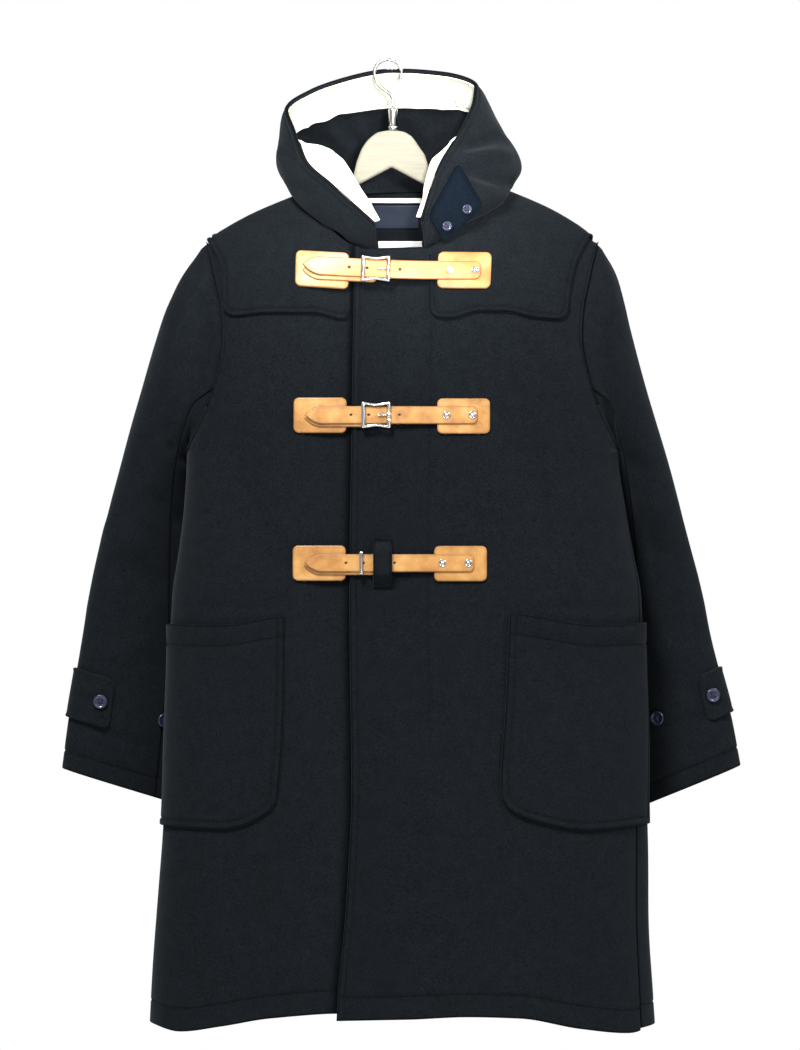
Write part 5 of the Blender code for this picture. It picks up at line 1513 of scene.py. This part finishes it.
def add_tube(name, material, places, radii, closed=False, sides=14):
    """A round bar through places, with a radius at each; its ends are closed with a point."""
    places = np.array([tuple(p) for p in places], float)
    count = len(places)
    radii = np.broadcast_to(radii, count)
    if closed:
        tangents = unit(np.roll(places, -1, axis=0) - np.roll(places, 1, axis=0))
    else:
        tangents = unit(np.gradient(places, axis=0))
    side = unit(np.cross(tangents[0], (0.31, 0.89, 0.17)))
    rings = []
    for place, tangent, radius in zip(places, tangents, radii):
        side = unit(side - tangent * (side @ tangent))
        other = np.cross(tangent, side)
        ring = [
            place + radius * (math.cos(a) * side + math.sin(a) * other)
            for a in (2 * math.pi * k / sides for k in range(sides))
        ]
        rings.append(ring)
    vertices = [tuple(v) for ring in rings for v in ring]
    faces = []
    for i in range(count if closed else count - 1):
        k = (i + 1) % count
        for j in range(sides):
            m = (j + 1) % sides
            faces.append((i * sides + j, i * sides + m, k * sides + m, k * sides + j))
    if not closed:
        for i, out in ((0, -1), (count - 1, 1)):
            tip = len(vertices)
            vertices.append(tuple(places[i] + out * tangents[i] * radii[i] * 0.5))
            faces += [(i * sides + j, i * sides + (j + 1) % sides, tip) for j in range(sides)]
    return add_piece(name, material, finish_mesh(name, vertices, faces))


def add_turned(name, material, profile, matrix, sides=40, shape=None):
    """A turned piece: profile is (radius, height) pairs from its foot's middle to its top's middle."""
    vertices = [tuple(matrix @ Vector((0, 0, profile[0][1])))]
    for radius, height in profile[1:-1]:
        for k in range(sides):
            a = 2 * math.pi * k / sides
            place = Vector((radius * math.cos(a), radius * math.sin(a), height))
            if shape:
                place.z += shape(place)
            vertices.append(tuple(matrix @ place))
    vertices.append(tuple(matrix @ Vector((0, 0, profile[-1][1]))))
    last = len(vertices) - 1
    faces = [(0, 1 + (k + 1) % sides, 1 + k) for k in range(sides)]
    for i in range(len(profile) - 3):
        here, above = 1 + i * sides, 1 + (i + 1) * sides
        for k in range(sides):
            m = (k + 1) % sides
            faces.append((here + k, here + m, above + m, above + k))
    top = 1 + (len(profile) - 3) * sides
    faces += [(top + k, top + (k + 1) % sides, last) for k in range(sides)]
    return add_piece(name, material, finish_mesh(name, vertices, faces, smooth_angle=50))


def build_button(name, place, normal, radius, thick):
    """A four-hole button with a raised rim, and its thread."""
    matrix = facing_matrix(place, normal)
    hole_away, hole = BUTTON_HOLE_AWAY * radius, BUTTON_HOLE * radius

    def holes(point):
        deep = 0.0
        for sx, sy in ((1, 1), (-1, 1), (-1, -1), (1, -1)):
            away = math.hypot(point.x - sx * hole_away, point.y - sy * hole_away)
            if point.z > BUTTON_HOLE_FOOT * thick:
                share = 1 - smooth_step(BUTTON_HOLE_WALL[0] * hole, BUTTON_HOLE_WALL[1] * hole, away)
                deep = min(deep, -BUTTON_HOLE_DEPTH * thick * share)
        return deep

    reach, floor = BUTTON_FLOOR
    rings = [(reach * (1 - k / BUTTON_RINGS), floor) for k in range(BUTTON_RINGS)]
    shape = (*BUTTON_RIM, *rings, (0, floor))
    profile = [(share * radius, height * thick) for share, height in shape]
    made[name] = add_turned(name + "_look", "button", profile, matrix, 64, holes)
    for count, turn in enumerate((1, -1)):
        end = Vector((hole_away, turn * hole_away, 0))
        high = THREAD_HEIGHTS[1] + THREAD_CROSS * count
        heights = (THREAD_HEIGHTS[0] * thick, high * thick, THREAD_HEIGHTS[0] * thick)
        places = [matrix @ (end * k + Vector((0, 0, height))) for k, height in zip((-1, 0, 1), heights)]
        thread_name = f"{name}_thread_{count + 1}"
        thread = add_tube(thread_name, "thread", places, THREAD_RADIUS * radius, sides=8)
        extras.append(thread)


def bell(x):
    return math.exp(-(x**2))


def buckle_ring(half_x, half_y):
    """The places and the wire's thickness round a buckle's frame, with cusped corners and waisted sides."""
    corners = ((half_x, half_y), (-half_x, half_y), (-half_x, -half_y), (half_x, -half_y))
    ring, radii = [], []
    for k, (x1, y1) in enumerate(corners):
        x2, y2 = corners[(k + 1) % 4]
        level = k % 2 == 0
        for i in range(BUCKLE_STEPS):
            t = i / BUCKLE_STEPS
            waist = BUCKLE_WAIST[0 if level else 1] * math.sin(math.pi * t) ** 2
            x, y = lerp(x1, x2, t), lerp(y1, y2, t)
            if level:
                y -= math.copysign(waist, y)
            else:
                x -= math.copysign(waist, x)
            ring.append(Vector((x, y, 0)))
            thick = BUCKLE_LEVEL if level else lerp(1.0, BUCKLE_BAR, math.sin(math.pi * t) ** 0.5)
            if k == 3:
                narrowed = [bell((t - notch) / PRONG_NOTCH_HALF) for notch in PRONG_NOTCH]
                thick -= sum(PRONG_NOTCH_DEPTH * share for share in narrowed)
            radii.append(BUCKLE_WIRE * (thick + CUSP_RISE * bell(min(t, 1 - t) / CUSP_HALF)))
    return ring, radii


def build_buckle(tag, middle, tilt, lift, whole):
    """A buckle's frame and its prong; of the lowest buckle only the left bar shows beside the keeper loop."""
    place, normal = front_place(*middle, lift)
    matrix = facing_matrix(place, normal) @ Matrix.Rotation(math.radians(tilt), 4, "Z")
    half_x, half_y = BUCKLE_SIZE[0] / 2 - BUCKLE_WIRE, BUCKLE_SIZE[1] / 2 - BUCKLE_WIRE
    if whole:
        places, radii = buckle_ring(half_x, half_y)
    else:
        places = [Vector((0, y, 0)) for y in np.linspace(BAR_SHORT - half_y, half_y - BAR_SHORT, 15)]
        radii = [BUCKLE_WIRE * (BAR_THICK + CUSP_RISE * (abs(k - 7) / 7) ** 6) for k in range(15)]
    name = f"buckle_{tag}_frame"
    made[name] = add_tube(name + "_look", "metal", [matrix @ place for place in places], radii, whole, 16)
    if not whole:
        matrix = facing_matrix(*front_place(BUCKLE_X, middle[1], lift))
    ends = np.linspace(0.1 * half_x, half_x - PRONG_SHORT, 9)
    prong = [matrix @ Vector((x, 0, PRONG_WAVE * math.sin(8 * x / half_x))) for x in ends]
    name = f"buckle_{tag}_prong"
    made[name] = add_tube(name + "_look", "metal", prong, PRONG_RADII, False, 12)


def build_fastening(numbers):
    """A fastening's patches, straps, buckle and rivets; returns how high a loop over its buckle lies."""
    tag, z, tilt, tip = (numbers[key] for key in ("tag", "z", "tilt", "tip"))
    base = WALL + LAY_GAP + (WALL + YOKE_LIFT if numbers["yoke"] else 0) + PATCH_GAP
    for side in ("left", "right"):
        build_patch(tag, side, numbers[side], tilt * (2 if side == "left" else 1), base)
    over_patch = base + PATCH_WALL + LEATHER_GAP
    over_short = over_patch + STRAP_WALL + LEATHER_GAP
    short_z = z - SHORT_STRAP_DROP
    short_tip = tip - SHORT_STRAP_REACH
    build_strap(f"strap_{tag}_short", tilt, short_tip, SHORT_STRAP_END, short_z, lambda x: over_patch)

    def long_lift(x):
        curl = TIP_CURL * math.exp(-max(0.0, x - tip) / TIP_REACH)
        return lerp(over_short, over_patch, smooth_step(*STRAP_FALL, x)) + curl

    build_strap(f"strap_{tag}_long", tilt, tip, numbers["end"], z, long_lift, numbers["holes"])
    whole = tag != "3"
    x = BUCKLE_X if whole else BUCKLE_BAR_X
    build_buckle(tag, (x, z), tilt, over_short + STRAP_WALL + BUCKLE_WIRE + BUCKLE_GAP, whole)
    profile = [(RIVET_RADIUS * share, height) for share, height in RIVET_SHAPE]
    for count, x in enumerate(numbers["rivets"], 1):
        down = math.tan(math.radians(tilt)) * (x - (tip + numbers["end"]) / 2)
        place, normal = front_place(x, z + down, over_patch + STRAP_WALL - RIVET_SINK)
        name = f"rivet_{tag}_{count}"
        made[name] = add_turned(name + "_look", "metal", profile, facing_matrix(place, normal), 36)
    return over_short + STRAP_WALL + 2 * BUCKLE_WIRE + KEEPER["clear"]


def build_keeper(z, lift):
    """The cloth loop over the lowest buckle, with its ends down on the front."""
    half = KEEPER["height"] / 2
    xs = KEEPER["x"] - KEEPER["width"] / 2 + marks(KEEPER["width"], KEEPER["steps"][0])
    offsets = marks(KEEPER["height"], KEEPER["steps"][1]) - half
    rows_x, rows_z, lifts = [], [], []
    for offset in offsets[::-1]:
        rise = 1
        if abs(offset) > STRAP_WIDTH / 2:
            rise = smooth_step(half - KEEPER["foot"], STRAP_WIDTH / 2 + KEEPER["edge"], abs(offset))
        rows_x.append(xs)
        rows_z.append(np.full(len(xs), z + offset))
        lifts.append(np.full(len(xs), lerp(WALL + LAY_GAP, lift, rise)))
    grid, normals = front_patch(rows_x, rows_z, lifts)
    border = border_distance(grid)
    relief = turned_edge(border, KEEPER["stitch"]) * KEEPER["relief"]
    # painted shade at the loop's edges
    add_wool("keeper_loop", grid, normals, (0, KEEPER["wall"]), relief, painted_shade_of([border]))


def lying_trees():
    """What the throat tab lies on, for rays from the viewer's side."""
    depsgraph = bpy.context.evaluated_depsgraph_get()
    return [BVHTree.FromObject(made[name], depsgraph) for name in TAB_LIES_ON]


def build_tab():
    """The throat tab: a flat, stiff piece that lies on the highest places of what is under it."""
    under = lying_trees()

    def lying(x, z):
        hits = [tree.ray_cast(Vector((x, -1, z)), Vector((0, 1, 0)))[0] for tree in under]
        return min((hit.y for hit in hits if hit), default=0.0)

    top, right, bottom, left = (np.array((x, 0, z)) for x, z in TAB_CORNERS)
    edge = np.array(TAB_EDGE)
    shares = np.concatenate((edge, np.linspace(*TAB_INSIDE, TAB_COUNT), 1 - edge[::-1]))
    rows = []
    for v in shares:
        across = rounded_shares(shares, v)
        rows.append([lerp(lerp(top, right, u), lerp(left, bottom, u), v) for u in across])
    flat = np.array(rows)
    for row in flat:
        for place in row:
            place[1] = lying(place[0], place[2])
    ground = flat[..., 1].copy()
    for _ in range(TAB_ROUNDS):
        padded = np.pad(flat[..., 1], 1, mode="edge")
        flat[..., 1] = (padded[:-2, 1:-1] + padded[2:, 1:-1] + padded[1:-1, :-2] + padded[1:-1, 2:]) / 4
    flat[..., 1] -= np.max(flat[..., 1] - ground) + TAB_GAP
    mean = unit(normals_of(flat, 1).mean(axis=(0, 1)))
    normals = np.broadcast_to(mean, flat.shape)
    border = border_distance(flat)
    relief = turned_edge(border, TAB_STITCH)
    # painted shade at the tab's edges and in its stitched line
    dark = painted_shade_of([border], [(border, TAB_STITCH)])
    lifts = (0, TAB_WALL)
    made["throat_tab"] = add_wall("throat_tab_cloth", "tab_cloth", flat, normals, lifts, relief, dark=dark)
    tab = BVHTree.FromObject(made["throat_tab"], bpy.context.evaluated_depsgraph_get())
    for count, (x, z) in enumerate(TAB_BUTTONS, 1):
        place = tab.ray_cast(Vector((x, -1, z)), Vector((0, 1, 0)))[0]
        build_button(f"tab_button_{count}", place, Vector(mean), TAB_BUTTON_RADIUS, TAB_BUTTON_THICK)


def rounded_shares(shares, v):
    """The shares across the tab at v of its way down, drawn in at its corners."""
    short = corner_rise(min(v, 1 - v) * TAB_SIZE[0], TAB_CORNER) / TAB_SIZE[1]
    return short + (1 - 2 * short) * shares


def between_rows(rows, place):
    """The row at a place between two of the rows, counted from 0."""
    k = min(len(rows) - 2, int(place))
    return rows[k] * (1 - (place - k)) + rows[k + 1] * (place - k)


def build_cuff(side):
    """A cuff strap round the sleeve, and its two buttons."""
    knots = sleeve_knots(side)
    sign = 1 if side == "left" else -1
    low, high = (math.radians(a) for a in CUFF_STRAP["degrees"][side])
    start, end = (float(np.interp(row + 1, range(len(knots)), knots)) for row in CUFF_STRAP["rows"][side])
    height = end - start
    down = marks(height, CUFF_STRAP["steps"][0]) / height
    stack = sleeve_stack(side, np.linspace(low, high, CUFF_SAMPLES[1]))
    full = smooth_rows(knots, stack, np.linspace(start, end, CUFF_SAMPLES[0]))
    width = runs_of(full[len(full) // 2])[-1]
    across = marks(width, CUFF_STRAP["steps"][1]) / width
    grid = []
    for v in down:
        row = []
        for u in across:
            rise = corner_rise((1 - u) * width, CUFF_STRAP["corner"]) / height
            share = rise + (1 - 2 * rise) * v
            line = between_rows(full, share * (len(full) - 1))
            runs = runs_of(line)
            row.append([np.interp(u * runs[-1], runs, line[:, k]) for k in range(3)])
        grid.append(row)
    grid = np.array(grid)
    normals = normals_of(grid, sign)
    grid = folded(grid, normals, "sleeve_" + side)
    relief = turned_edge(border_distance(grid), CUFF_STRAP["stitch"])
    add_wool("cuff_strap_" + side, grid, normals, (LAY_GAP, WALL + LAY_GAP), relief)
    middle = (start + end) / 2
    for count, (degrees, lift) in enumerate(zip(CUFF_BUTTONS[side], (WALL + LAY_GAP, 0.0)), 1):
        a = math.radians(degrees)
        turn, rise = CUFF_NEAR
        beside = sleeve_stack(side, (a - turn, a, a + turn))
        near = smooth_rows(knots, beside, np.array([middle - rise, middle, middle + rise]))
        normal = normals_of(near, sign)[1, 1]
        name = f"cuff_button_{side}_{count}"
        build_button(name, Vector(near[1, 1] + normal * lift), Vector(normal), BUTTON_RADIUS, BUTTON_THICK)


def build_strip(name, material, numbers):
    """A tape or label on the inner face of the back, at the neck."""
    panel = PANELS["back"]
    (x1, x2), (z1, z2) = numbers["x"], numbers["z"]
    xs = x1 + marks(x2 - x1, STRIP_STEPS[0])
    zs = z1 - marks(z1 - z2, max(STRIP_STEPS[1], round((z1 - z2) / STRIP_STEP)))
    rows = []
    for z in zs:
        columns = [panel.column(x) for x in xs]
        rows.append([panel.point(f, panel.share_down(f, z)) for f in columns])
    grid = np.array(rows)[:, ::-1]
    normals = normals_of(grid, 1)
    relief = STRIP_EDGE * -turned_edge(border_distance(grid), STRIP_STITCH)
    relief = relief - np.abs(ripples(grid, *STRIP_RIPPLE))
    lifts = (-STRIP_GAP - LABEL_WALL, -STRIP_GAP)
    made[name] = add_wall(name + "_cloth", material, grid, normals, lifts, 0, relief, bulge=STRIP_BULGE)


def board_outline():
    """The board's outline as (x, z): its top from left to right, then its lower edge back."""
    crown_left, crown_right = CROWN[0][0], CROWN[-1][0]
    tops = []
    for k in range(ARM_STEPS):
        x = lerp(ARM_REACH[0], crown_left, k / ARM_STEPS)
        tops.append((x, shoulder_at(x) - ARM_CLEARANCE * (1 + max(0.0, 1 - abs(x) / 0.1))))
    crown_at = curve_through(CROWN)
    tops += [(x, crown_at(x)) for x in np.linspace(crown_left, crown_right, 41)]
    for k in range(1, ARM_STEPS + 1):
        x = lerp(crown_right, ARM_REACH[1], k / ARM_STEPS)
        tops.append((x, shoulder_at(x) - ARM_CLEARANCE))
    bottoms = []
    for x, z in reversed(tops):
        reach = abs(x - NOTCH[0]) / ARM_REACH[1]
        low = NOTCH[1] - abs(x - NOTCH[0]) * NOTCH_SLOPE
        in_notch = reach < NOTCH_REACH
        bottom = min(z - BOARD_LEAST, low) if in_notch else z - lerp(*ARM_HEIGHT[::-1], reach)
        bottoms.append((x, bottom))
    return tops + bottoms


def build_hanger():
    outline = board_outline()
    curve = bpy.data.curves.new("hanger_board_look", "CURVE")
    curve.dimensions = "2D"
    curve.fill_mode = "BOTH"
    curve.extrude = BOARD_THICK / 2 - BOARD_BEVEL
    curve.bevel_depth = BOARD_BEVEL
    curve.bevel_resolution = 4
    curve.offset = -BOARD_BEVEL
    spline = curve.splines.new("POLY")
    spline.points.add(len(outline) - 1)
    spline.use_cyclic_u = True
    for point, (x, z) in zip(spline.points, outline):
        point.co = (x, z, 0, 1)
    board = bpy.data.objects.new("hanger_board_look", curve)
    bpy.context.scene.collection.objects.link(board)
    curve.materials.append(materials["wood"])
    board.matrix_world = Matrix.Rotation(math.pi / 2, 4, "X")
    made["hanger_board"] = board
    top, foot = FERRULE["z"]
    radius = FERRULE["radius"]
    profile = [(share * radius, height) for share, height in FERRULE_FOOT]
    profile += [(share * radius, top - foot - below) for share, below in FERRULE_TOP]
    matrix = Matrix.Translation((FERRULE["x"], 0, foot))
    made["hanger_ferrule"] = add_turned("hanger_ferrule_look", "metal", profile, matrix)
    middle = Vector((HOOK_X, 0, WIRE_RADIUS - HOOK_RADIUS + HOOK_GAP))
    wire = []
    for k in range(49):
        a = math.radians(lerp(*HOOK_ROUND, k / 48))
        wire.append(middle + HOOK_RADIUS * Vector((math.cos(a), 0, math.sin(a))))
    bend = [(wire[-1].x, wire[-1].z), *HOOK_BEND]
    bend_at = [curve_through([(k, place[axis]) for k, place in enumerate(bend)]) for axis in (0, 1)]
    wire += [Vector((bend_at[0](t), 0, bend_at[1](t))) for t in np.linspace(0, len(HOOK_BEND), 31)[1:]]
    made["hanger_hook"] = add_tube("hanger_hook_look", "metal", wire, WIRE_RADIUS, False, 18)


# ---------------------------------------------------------------- materials


class Shader:
    """A material's node tree, with short calls for the nodes that the materials here are made of."""

    def __init__(self, name):
        self.material = bpy.data.materials.new(name)
        self.material.use_nodes = True
        self.tree = self.material.node_tree
        self.surface = self.tree.nodes["Principled BSDF"]

    def node(self, kind, **settings):
        node = self.tree.nodes.new(kind)
        for key, value in settings.items():
            if hasattr(node, key):
                setattr(node, key, value)
        return node

    def link(self, out, into):
        self.tree.links.new(out, into)

    def set(self, **values):
        """Sets the Principled BSDF's inputs; an underscore stands for a space."""
        for key, value in values.items():
            socket = self.surface.inputs[key.replace("_", " ")]
            if isinstance(value, bpy.types.NodeSocket):
                self.link(value, socket)
            else:
                socket.default_value = (*value, 1) if isinstance(value, tuple) and len(value) == 3 else value
        return self

    def place(self, kind="Object", scale=(1, 1, 1), turn=0.0):
        """A place in the cloth: Object is the object's own space in metres, UV runs along its threads."""
        source = self.node("ShaderNodeTexCoord")
        mapping = self.node("ShaderNodeMapping")
        mapping.inputs["Scale"].default_value = scale
        mapping.inputs["Rotation"].default_value = (0, 0, turn)
        self.link(source.outputs[kind], mapping.inputs["Vector"])
        return mapping.outputs["Vector"]

    def noise(self, place, scale, detail=2.0, roughness=0.5):
        node = self.node("ShaderNodeTexNoise")
        self.link(place, node.inputs["Vector"])
        node.inputs["Scale"].default_value = scale
        node.inputs["Detail"].default_value = detail
        node.inputs["Roughness"].default_value = roughness
        return node.outputs["Fac"]

    def ramp(self, value, stops):
        """A colour ramp over value; stops are (position, colour)."""
        node = self.node("ShaderNodeValToRGB")
        self.link(value, node.inputs["Fac"])
        ramp = node.color_ramp
        while len(ramp.elements) < len(stops):
            ramp.elements.new(0.5)
        for element, (position, color) in zip(ramp.elements, stops):
            element.position = position
            element.color = (*color, 1)
        return node.outputs["Color"]

    def math(self, operation, a, b):
        node = self.node("ShaderNodeMath", operation=operation)
        for socket, value in zip(node.inputs, (a, b)):
            if isinstance(value, bpy.types.NodeSocket):
                self.link(value, socket)
            else:
                socket.default_value = value
        return node.outputs[0]

    def mix(self, share, a, b):
        """A blend of two colours; a and b are sockets or colours."""
        node = self.node("ShaderNodeMix", data_type="RGBA")
        self.link(share, node.inputs[0])
        for socket, value in ((node.inputs[6], a), (node.inputs[7], b)):
            if isinstance(value, bpy.types.NodeSocket):
                self.link(value, socket)
            else:
                socket.default_value = (*value, 1)
        return node.outputs[2]

    def bump(self, height, distance, strength=1.0, under=None):
        node = self.node("ShaderNodeBump")
        node.inputs["Strength"].default_value = strength
        node.inputs["Distance"].default_value = distance
        self.link(height, node.inputs["Height"])
        if under is not None:
            self.link(under, node.inputs["Normal"])
        return node.outputs["Normal"]


def wool_material(name, dark, light, sheen):
    """Milled melton: a felted face with short fibres that hide the weave, mottled at 1 to 3 mm."""
    shader = Shader(name)
    place = shader.place()
    fibres = shader.noise(place, 1400, 3, 0.7)
    clumps = shader.noise(place, 520, 3, 0.65)
    patches = shader.math("MULTIPLY", shader.noise(place, 70, 2, 0.5), 0.16)
    mottled = shader.math("ADD", shader.math("MULTIPLY", clumps, 0.84), patches)
    color = shader.ramp(mottled, ((0.34, dark), (0.66, light)))
    # the dark attribute is painted shade at seams, edges and stitched lines, blended toward a darker wool
    shade = shader.node("ShaderNodeAttribute", attribute_name="dark").outputs["Fac"]
    color = shader.mix(shade, color, tuple(PAINTED_SHADE_WOOL * value for value in dark))
    under = shader.bump(clumps, 0.0006, 0.35)
    shader.set(
        Base_Color=color,
        Roughness=0.92,
        Specular_IOR_Level=0.0,
        Sheen_Weight=sheen,
        Sheen_Roughness=0.5,
        Sheen_Tint=(0.80, 0.90, 1.0, 1.0),
        Normal=shader.bump(fibres, 0.0003, 0.45, under),
    )
    return shader.material


def facing_material(name):
    """A cream cotton twill: diagonal ribs 0.8 mm apart."""
    shader = Shader(name)
    place = shader.place("UV", (1, 1, 1), math.radians(45))
    wave = shader.node("ShaderNodeTexWave", wave_type="BANDS", bands_direction="X")
    shader.link(place, wave.inputs["Vector"])
    wave.inputs["Scale"].default_value = 380
    wave.inputs["Distortion"].default_value = 0.6
    soft = shader.noise(shader.place(), 60, 2)
    color = shader.ramp(soft, ((0.3, (0.78, 0.78, 0.65)), (0.7, (0.84, 0.84, 0.72))))
    shader.set(
        Base_Color=color,
        Roughness=0.78,
        Specular_IOR_Level=0.25,
        Sheen_Weight=0.15,
        Normal=shader.bump(wave.outputs["Fac"], 0.00012, 0.5),
    )
    return shader.material


def leather_material(name):
    """Tan leather with a fine grain, darker at its burnished edges, with painted near-black shade in its
    punched holes.
    """
    shader = Shader(name)
    place = shader.place()
    cells = shader.node("ShaderNodeTexVoronoi", feature="DISTANCE_TO_EDGE")
    shader.link(place, cells.inputs["Vector"])
    cells.inputs["Scale"].default_value = 900
    tans = ((0.30, (0.36, 0.155, 0.040)), (0.52, (0.53, 0.265, 0.075)), (0.75, (0.68, 0.40, 0.145)))
    tone = shader.ramp(shader.noise(place, 38, 4, 0.6), tans)
    dark = shader.node("ShaderNodeAttribute", attribute_name="dark").outputs["Fac"]
    edge = shader.math("MINIMUM", shader.math("MULTIPLY", dark, 0.90), 1.0)
    color = shader.mix(edge, tone, (0.20, 0.075, 0.022))
    # painted near-black shade in the punched holes
    hole = shader.math("GREATER_THAN", dark, 1.6)
    color = shader.mix(hole, color, (0.020, 0.010, 0.006))
    under = shader.bump(cells.outputs["Distance"], 0.00012, 0.35)
    shader.set(
        Base_Color=color,
        Roughness=0.42,
        Specular_IOR_Level=0.5,
        Coat_Weight=0.15,
        Coat_Roughness=0.25,
        Normal=shader.bump(shader.noise(place, 160, 3), 0.0003, 0.25, under),
    )
    return shader.material


def metal_material(name):
    shader = Shader(name)
    worn = shader.noise(shader.place(), 260, 3)
    rough = shader.math("ADD", shader.math("MULTIPLY", worn, 0.16), 0.10)
    shader.set(Base_Color=(0.66, 0.655, 0.64), Metallic=1.0, Roughness=rough)
    return shader.material


def button_material(name):
    shader = Shader(name)
    blues = ((0.35, (0.012, 0.014, 0.040)), (0.7, (0.026, 0.030, 0.070)))
    tone = shader.ramp(shader.noise(shader.place(), 300, 3), blues)
    shader.set(Base_Color=tone, Roughness=0.30, Specular_IOR_Level=0.5, Coat_Weight=0.3, Coat_Roughness=0.12)
    return shader.material


def woven_material(name, color, step):
    """A smooth woven label or tape."""
    shader = Shader(name)
    checks = shader.node("ShaderNodeTexWave", wave_type="BANDS", bands_direction="Y")
    shader.link(shader.place("UV"), checks.inputs["Vector"])
    checks.inputs["Scale"].default_value = step
    normal = shader.bump(checks.outputs["Fac"], 0.00008, 0.4)
    shader.set(Base_Color=color, Roughness=0.6, Specular_IOR_Level=0.3, Normal=normal)
    return shader.material


def wood_material(name):
    """Pale beech with a dull finish, its grain along X."""
    shader = Shader(name)
    place = shader.place("Object", (6, 90, 90))
    grain = shader.noise(place, 3, 6, 0.65)
    pores = shader.noise(shader.place("Object", (60, 1500, 1500)), 1, 2)
    tones = ((0.30, (0.20, 0.19, 0.14)), (0.55, (0.23, 0.22, 0.17)), (0.80, (0.25, 0.24, 0.19)))
    pored = shader.math("MULTIPLY", shader.math("GREATER_THAN", pores, 0.66), 0.35)
    color = shader.mix(pored, shader.ramp(grain, tones), (0.42, 0.34, 0.20))
    normal = shader.bump(grain, 0.0002, 0.2)
    shader.set(Base_Color=color, Roughness=0.60, Specular_IOR_Level=0.25, Normal=normal)
    return shader.material


def thread_material(name):
    shader = Shader(name)
    shader.set(Base_Color=(0.012, 0.015, 0.035), Roughness=0.8)
    return shader.material


def floor_material(name):
    shader = Shader(name)
    shader.set(Base_Color=(0.86, 0.86, 0.86), Roughness=0.9)
    return shader.material


# ---------------------------------------------------------------- stage


def add_lamp(data, place, aim):
    lamp = bpy.data.objects.new(data.name, data)
    bpy.context.scene.collection.objects.link(lamp)
    lamp.location = place
    lamp.rotation_euler = (Vector(place) - Vector(aim)).to_track_quat("Z", "Y").to_euler()


def build_world():
    """A white ground for the camera, a softer one for what mirrors it, and a dim one as light."""
    world = bpy.data.worlds.new("studio")
    bpy.context.scene.world = world
    world.use_nodes = True
    tree = world.node_tree
    backgrounds = [tree.nodes["Background"]]
    backgrounds += [tree.nodes.new("ShaderNodeBackground") for _ in range(2)]
    for node, strength in zip(backgrounds, (WORLD_LIGHT, WORLD_GLOSS, WORLD_SEEN)):
        node.inputs["Color"].default_value = (1, 1, 1, 1)
        node.inputs["Strength"].default_value = strength
    path = tree.nodes.new("ShaderNodeLightPath")
    shown = backgrounds[0].outputs["Background"]
    for node, ray in zip(backgrounds[1:], ("Is Glossy Ray", "Is Camera Ray")):
        mix = tree.nodes.new("ShaderNodeMixShader")
        tree.links.new(path.outputs[ray], mix.inputs["Fac"])
        tree.links.new(shown, mix.inputs[1])
        tree.links.new(node.outputs["Background"], mix.inputs[2])
        shown = mix.outputs["Shader"]
    tree.links.new(shown, tree.nodes["World Output"].inputs["Surface"])


def build_stage():
    where = (0, 0, FLOOR_Z)
    bpy.ops.mesh.primitive_circle_add(vertices=96, radius=FLOOR_RADIUS, fill_type="NGON", location=where)
    floor = bpy.context.object
    floor.name = "floor"
    floor.data.materials.append(materials["floor"])
    bpy.context.scene.view_settings.view_transform = "Standard"
    build_world()
    for name, place, size, power in LIGHTS:
        data = bpy.data.lights.new(name, "AREA")
        data.shape = "DISK"
        data.size = size
        data.energy = power
        add_lamp(data, place, LIT_MIDDLE)
    for name, place, aim, degrees, size, power in SPOTS:
        data = bpy.data.lights.new(name, "SPOT")
        data.energy = power
        data.spot_size = math.radians(degrees)
        data.spot_blend = 1.0
        data.shadow_soft_size = size
        add_lamp(data, place, aim)
    camera_data = bpy.data.cameras.new("camera")
    camera_data.sensor_width = SENSOR
    camera_data.lens = SENSOR * VIEW_DISTANCE / VIEW_HEIGHT
    camera = bpy.data.objects.new("camera", camera_data)
    bpy.context.scene.collection.objects.link(camera)
    camera.location = (VIEW_MIDDLE[0], VIEW_MIDDLE[1] - VIEW_DISTANCE, VIEW_MIDDLE[2])
    camera.rotation_euler = (math.pi / 2, 0, 0)
    bpy.context.scene.camera = camera


def declare():
    """Each piece rides on the one body and stands for its CAD node, which is hidden."""
    for node, piece in made.items():
        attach(piece, "root")
        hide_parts(node)
    for piece in extras:
        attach(piece, "root")


materials = {
    "wool": wool_material("wool", (0.0047, 0.0058, 0.0071), (0.0112, 0.0137, 0.0163), 0.05),
    "tab_cloth": wool_material("tab_cloth", (0.0028, 0.0049, 0.0084), (0.0058, 0.0096, 0.0152), 0.05),
    "facing": facing_material("facing"),
    "leather": leather_material("leather"),
    "metal": metal_material("metal"),
    "button": button_material("button"),
    "thread": thread_material("thread"),
    "tape": woven_material("tape", (0.82, 0.82, 0.76), 900),
    "label": woven_material("label", (0.0112, 0.0172, 0.0310), 900),
    "tag": woven_material("tag", (0.86, 0.86, 0.84), 900),
    "wood": wood_material("wood"),
    "floor": floor_material("floor"),
}
hood_at = [curve_through([(row[0], row[k]) for row in HOOD]) for k in range(1, 10)]
facing_width_at = curve_through(FACING_WIDTHS)
facing_reach_at = [curve_through([(row[0], row[k]) for row in FACING_REACH]) for k in range(1, 5)]
made = {}
extras = []

build_hanger()
build_body()
for side in ("left", "right"):
    build_sleeve(side)
    build_front_yoke(side)
    build_pocket(side)
    build_cuff(side)
build_back_yoke()
build_hood()
build_facing()
build_tab()
for numbers in FASTENINGS:
    over_buckle = build_fastening(numbers)
build_keeper(FASTENINGS[-1]["z"], over_buckle)
build_strip("neck_tape", "tape", TAPE)
build_strip("neck_label", "label", LABEL)
build_strip("size_tag", "tag", TAG)
build_stage()
declare()
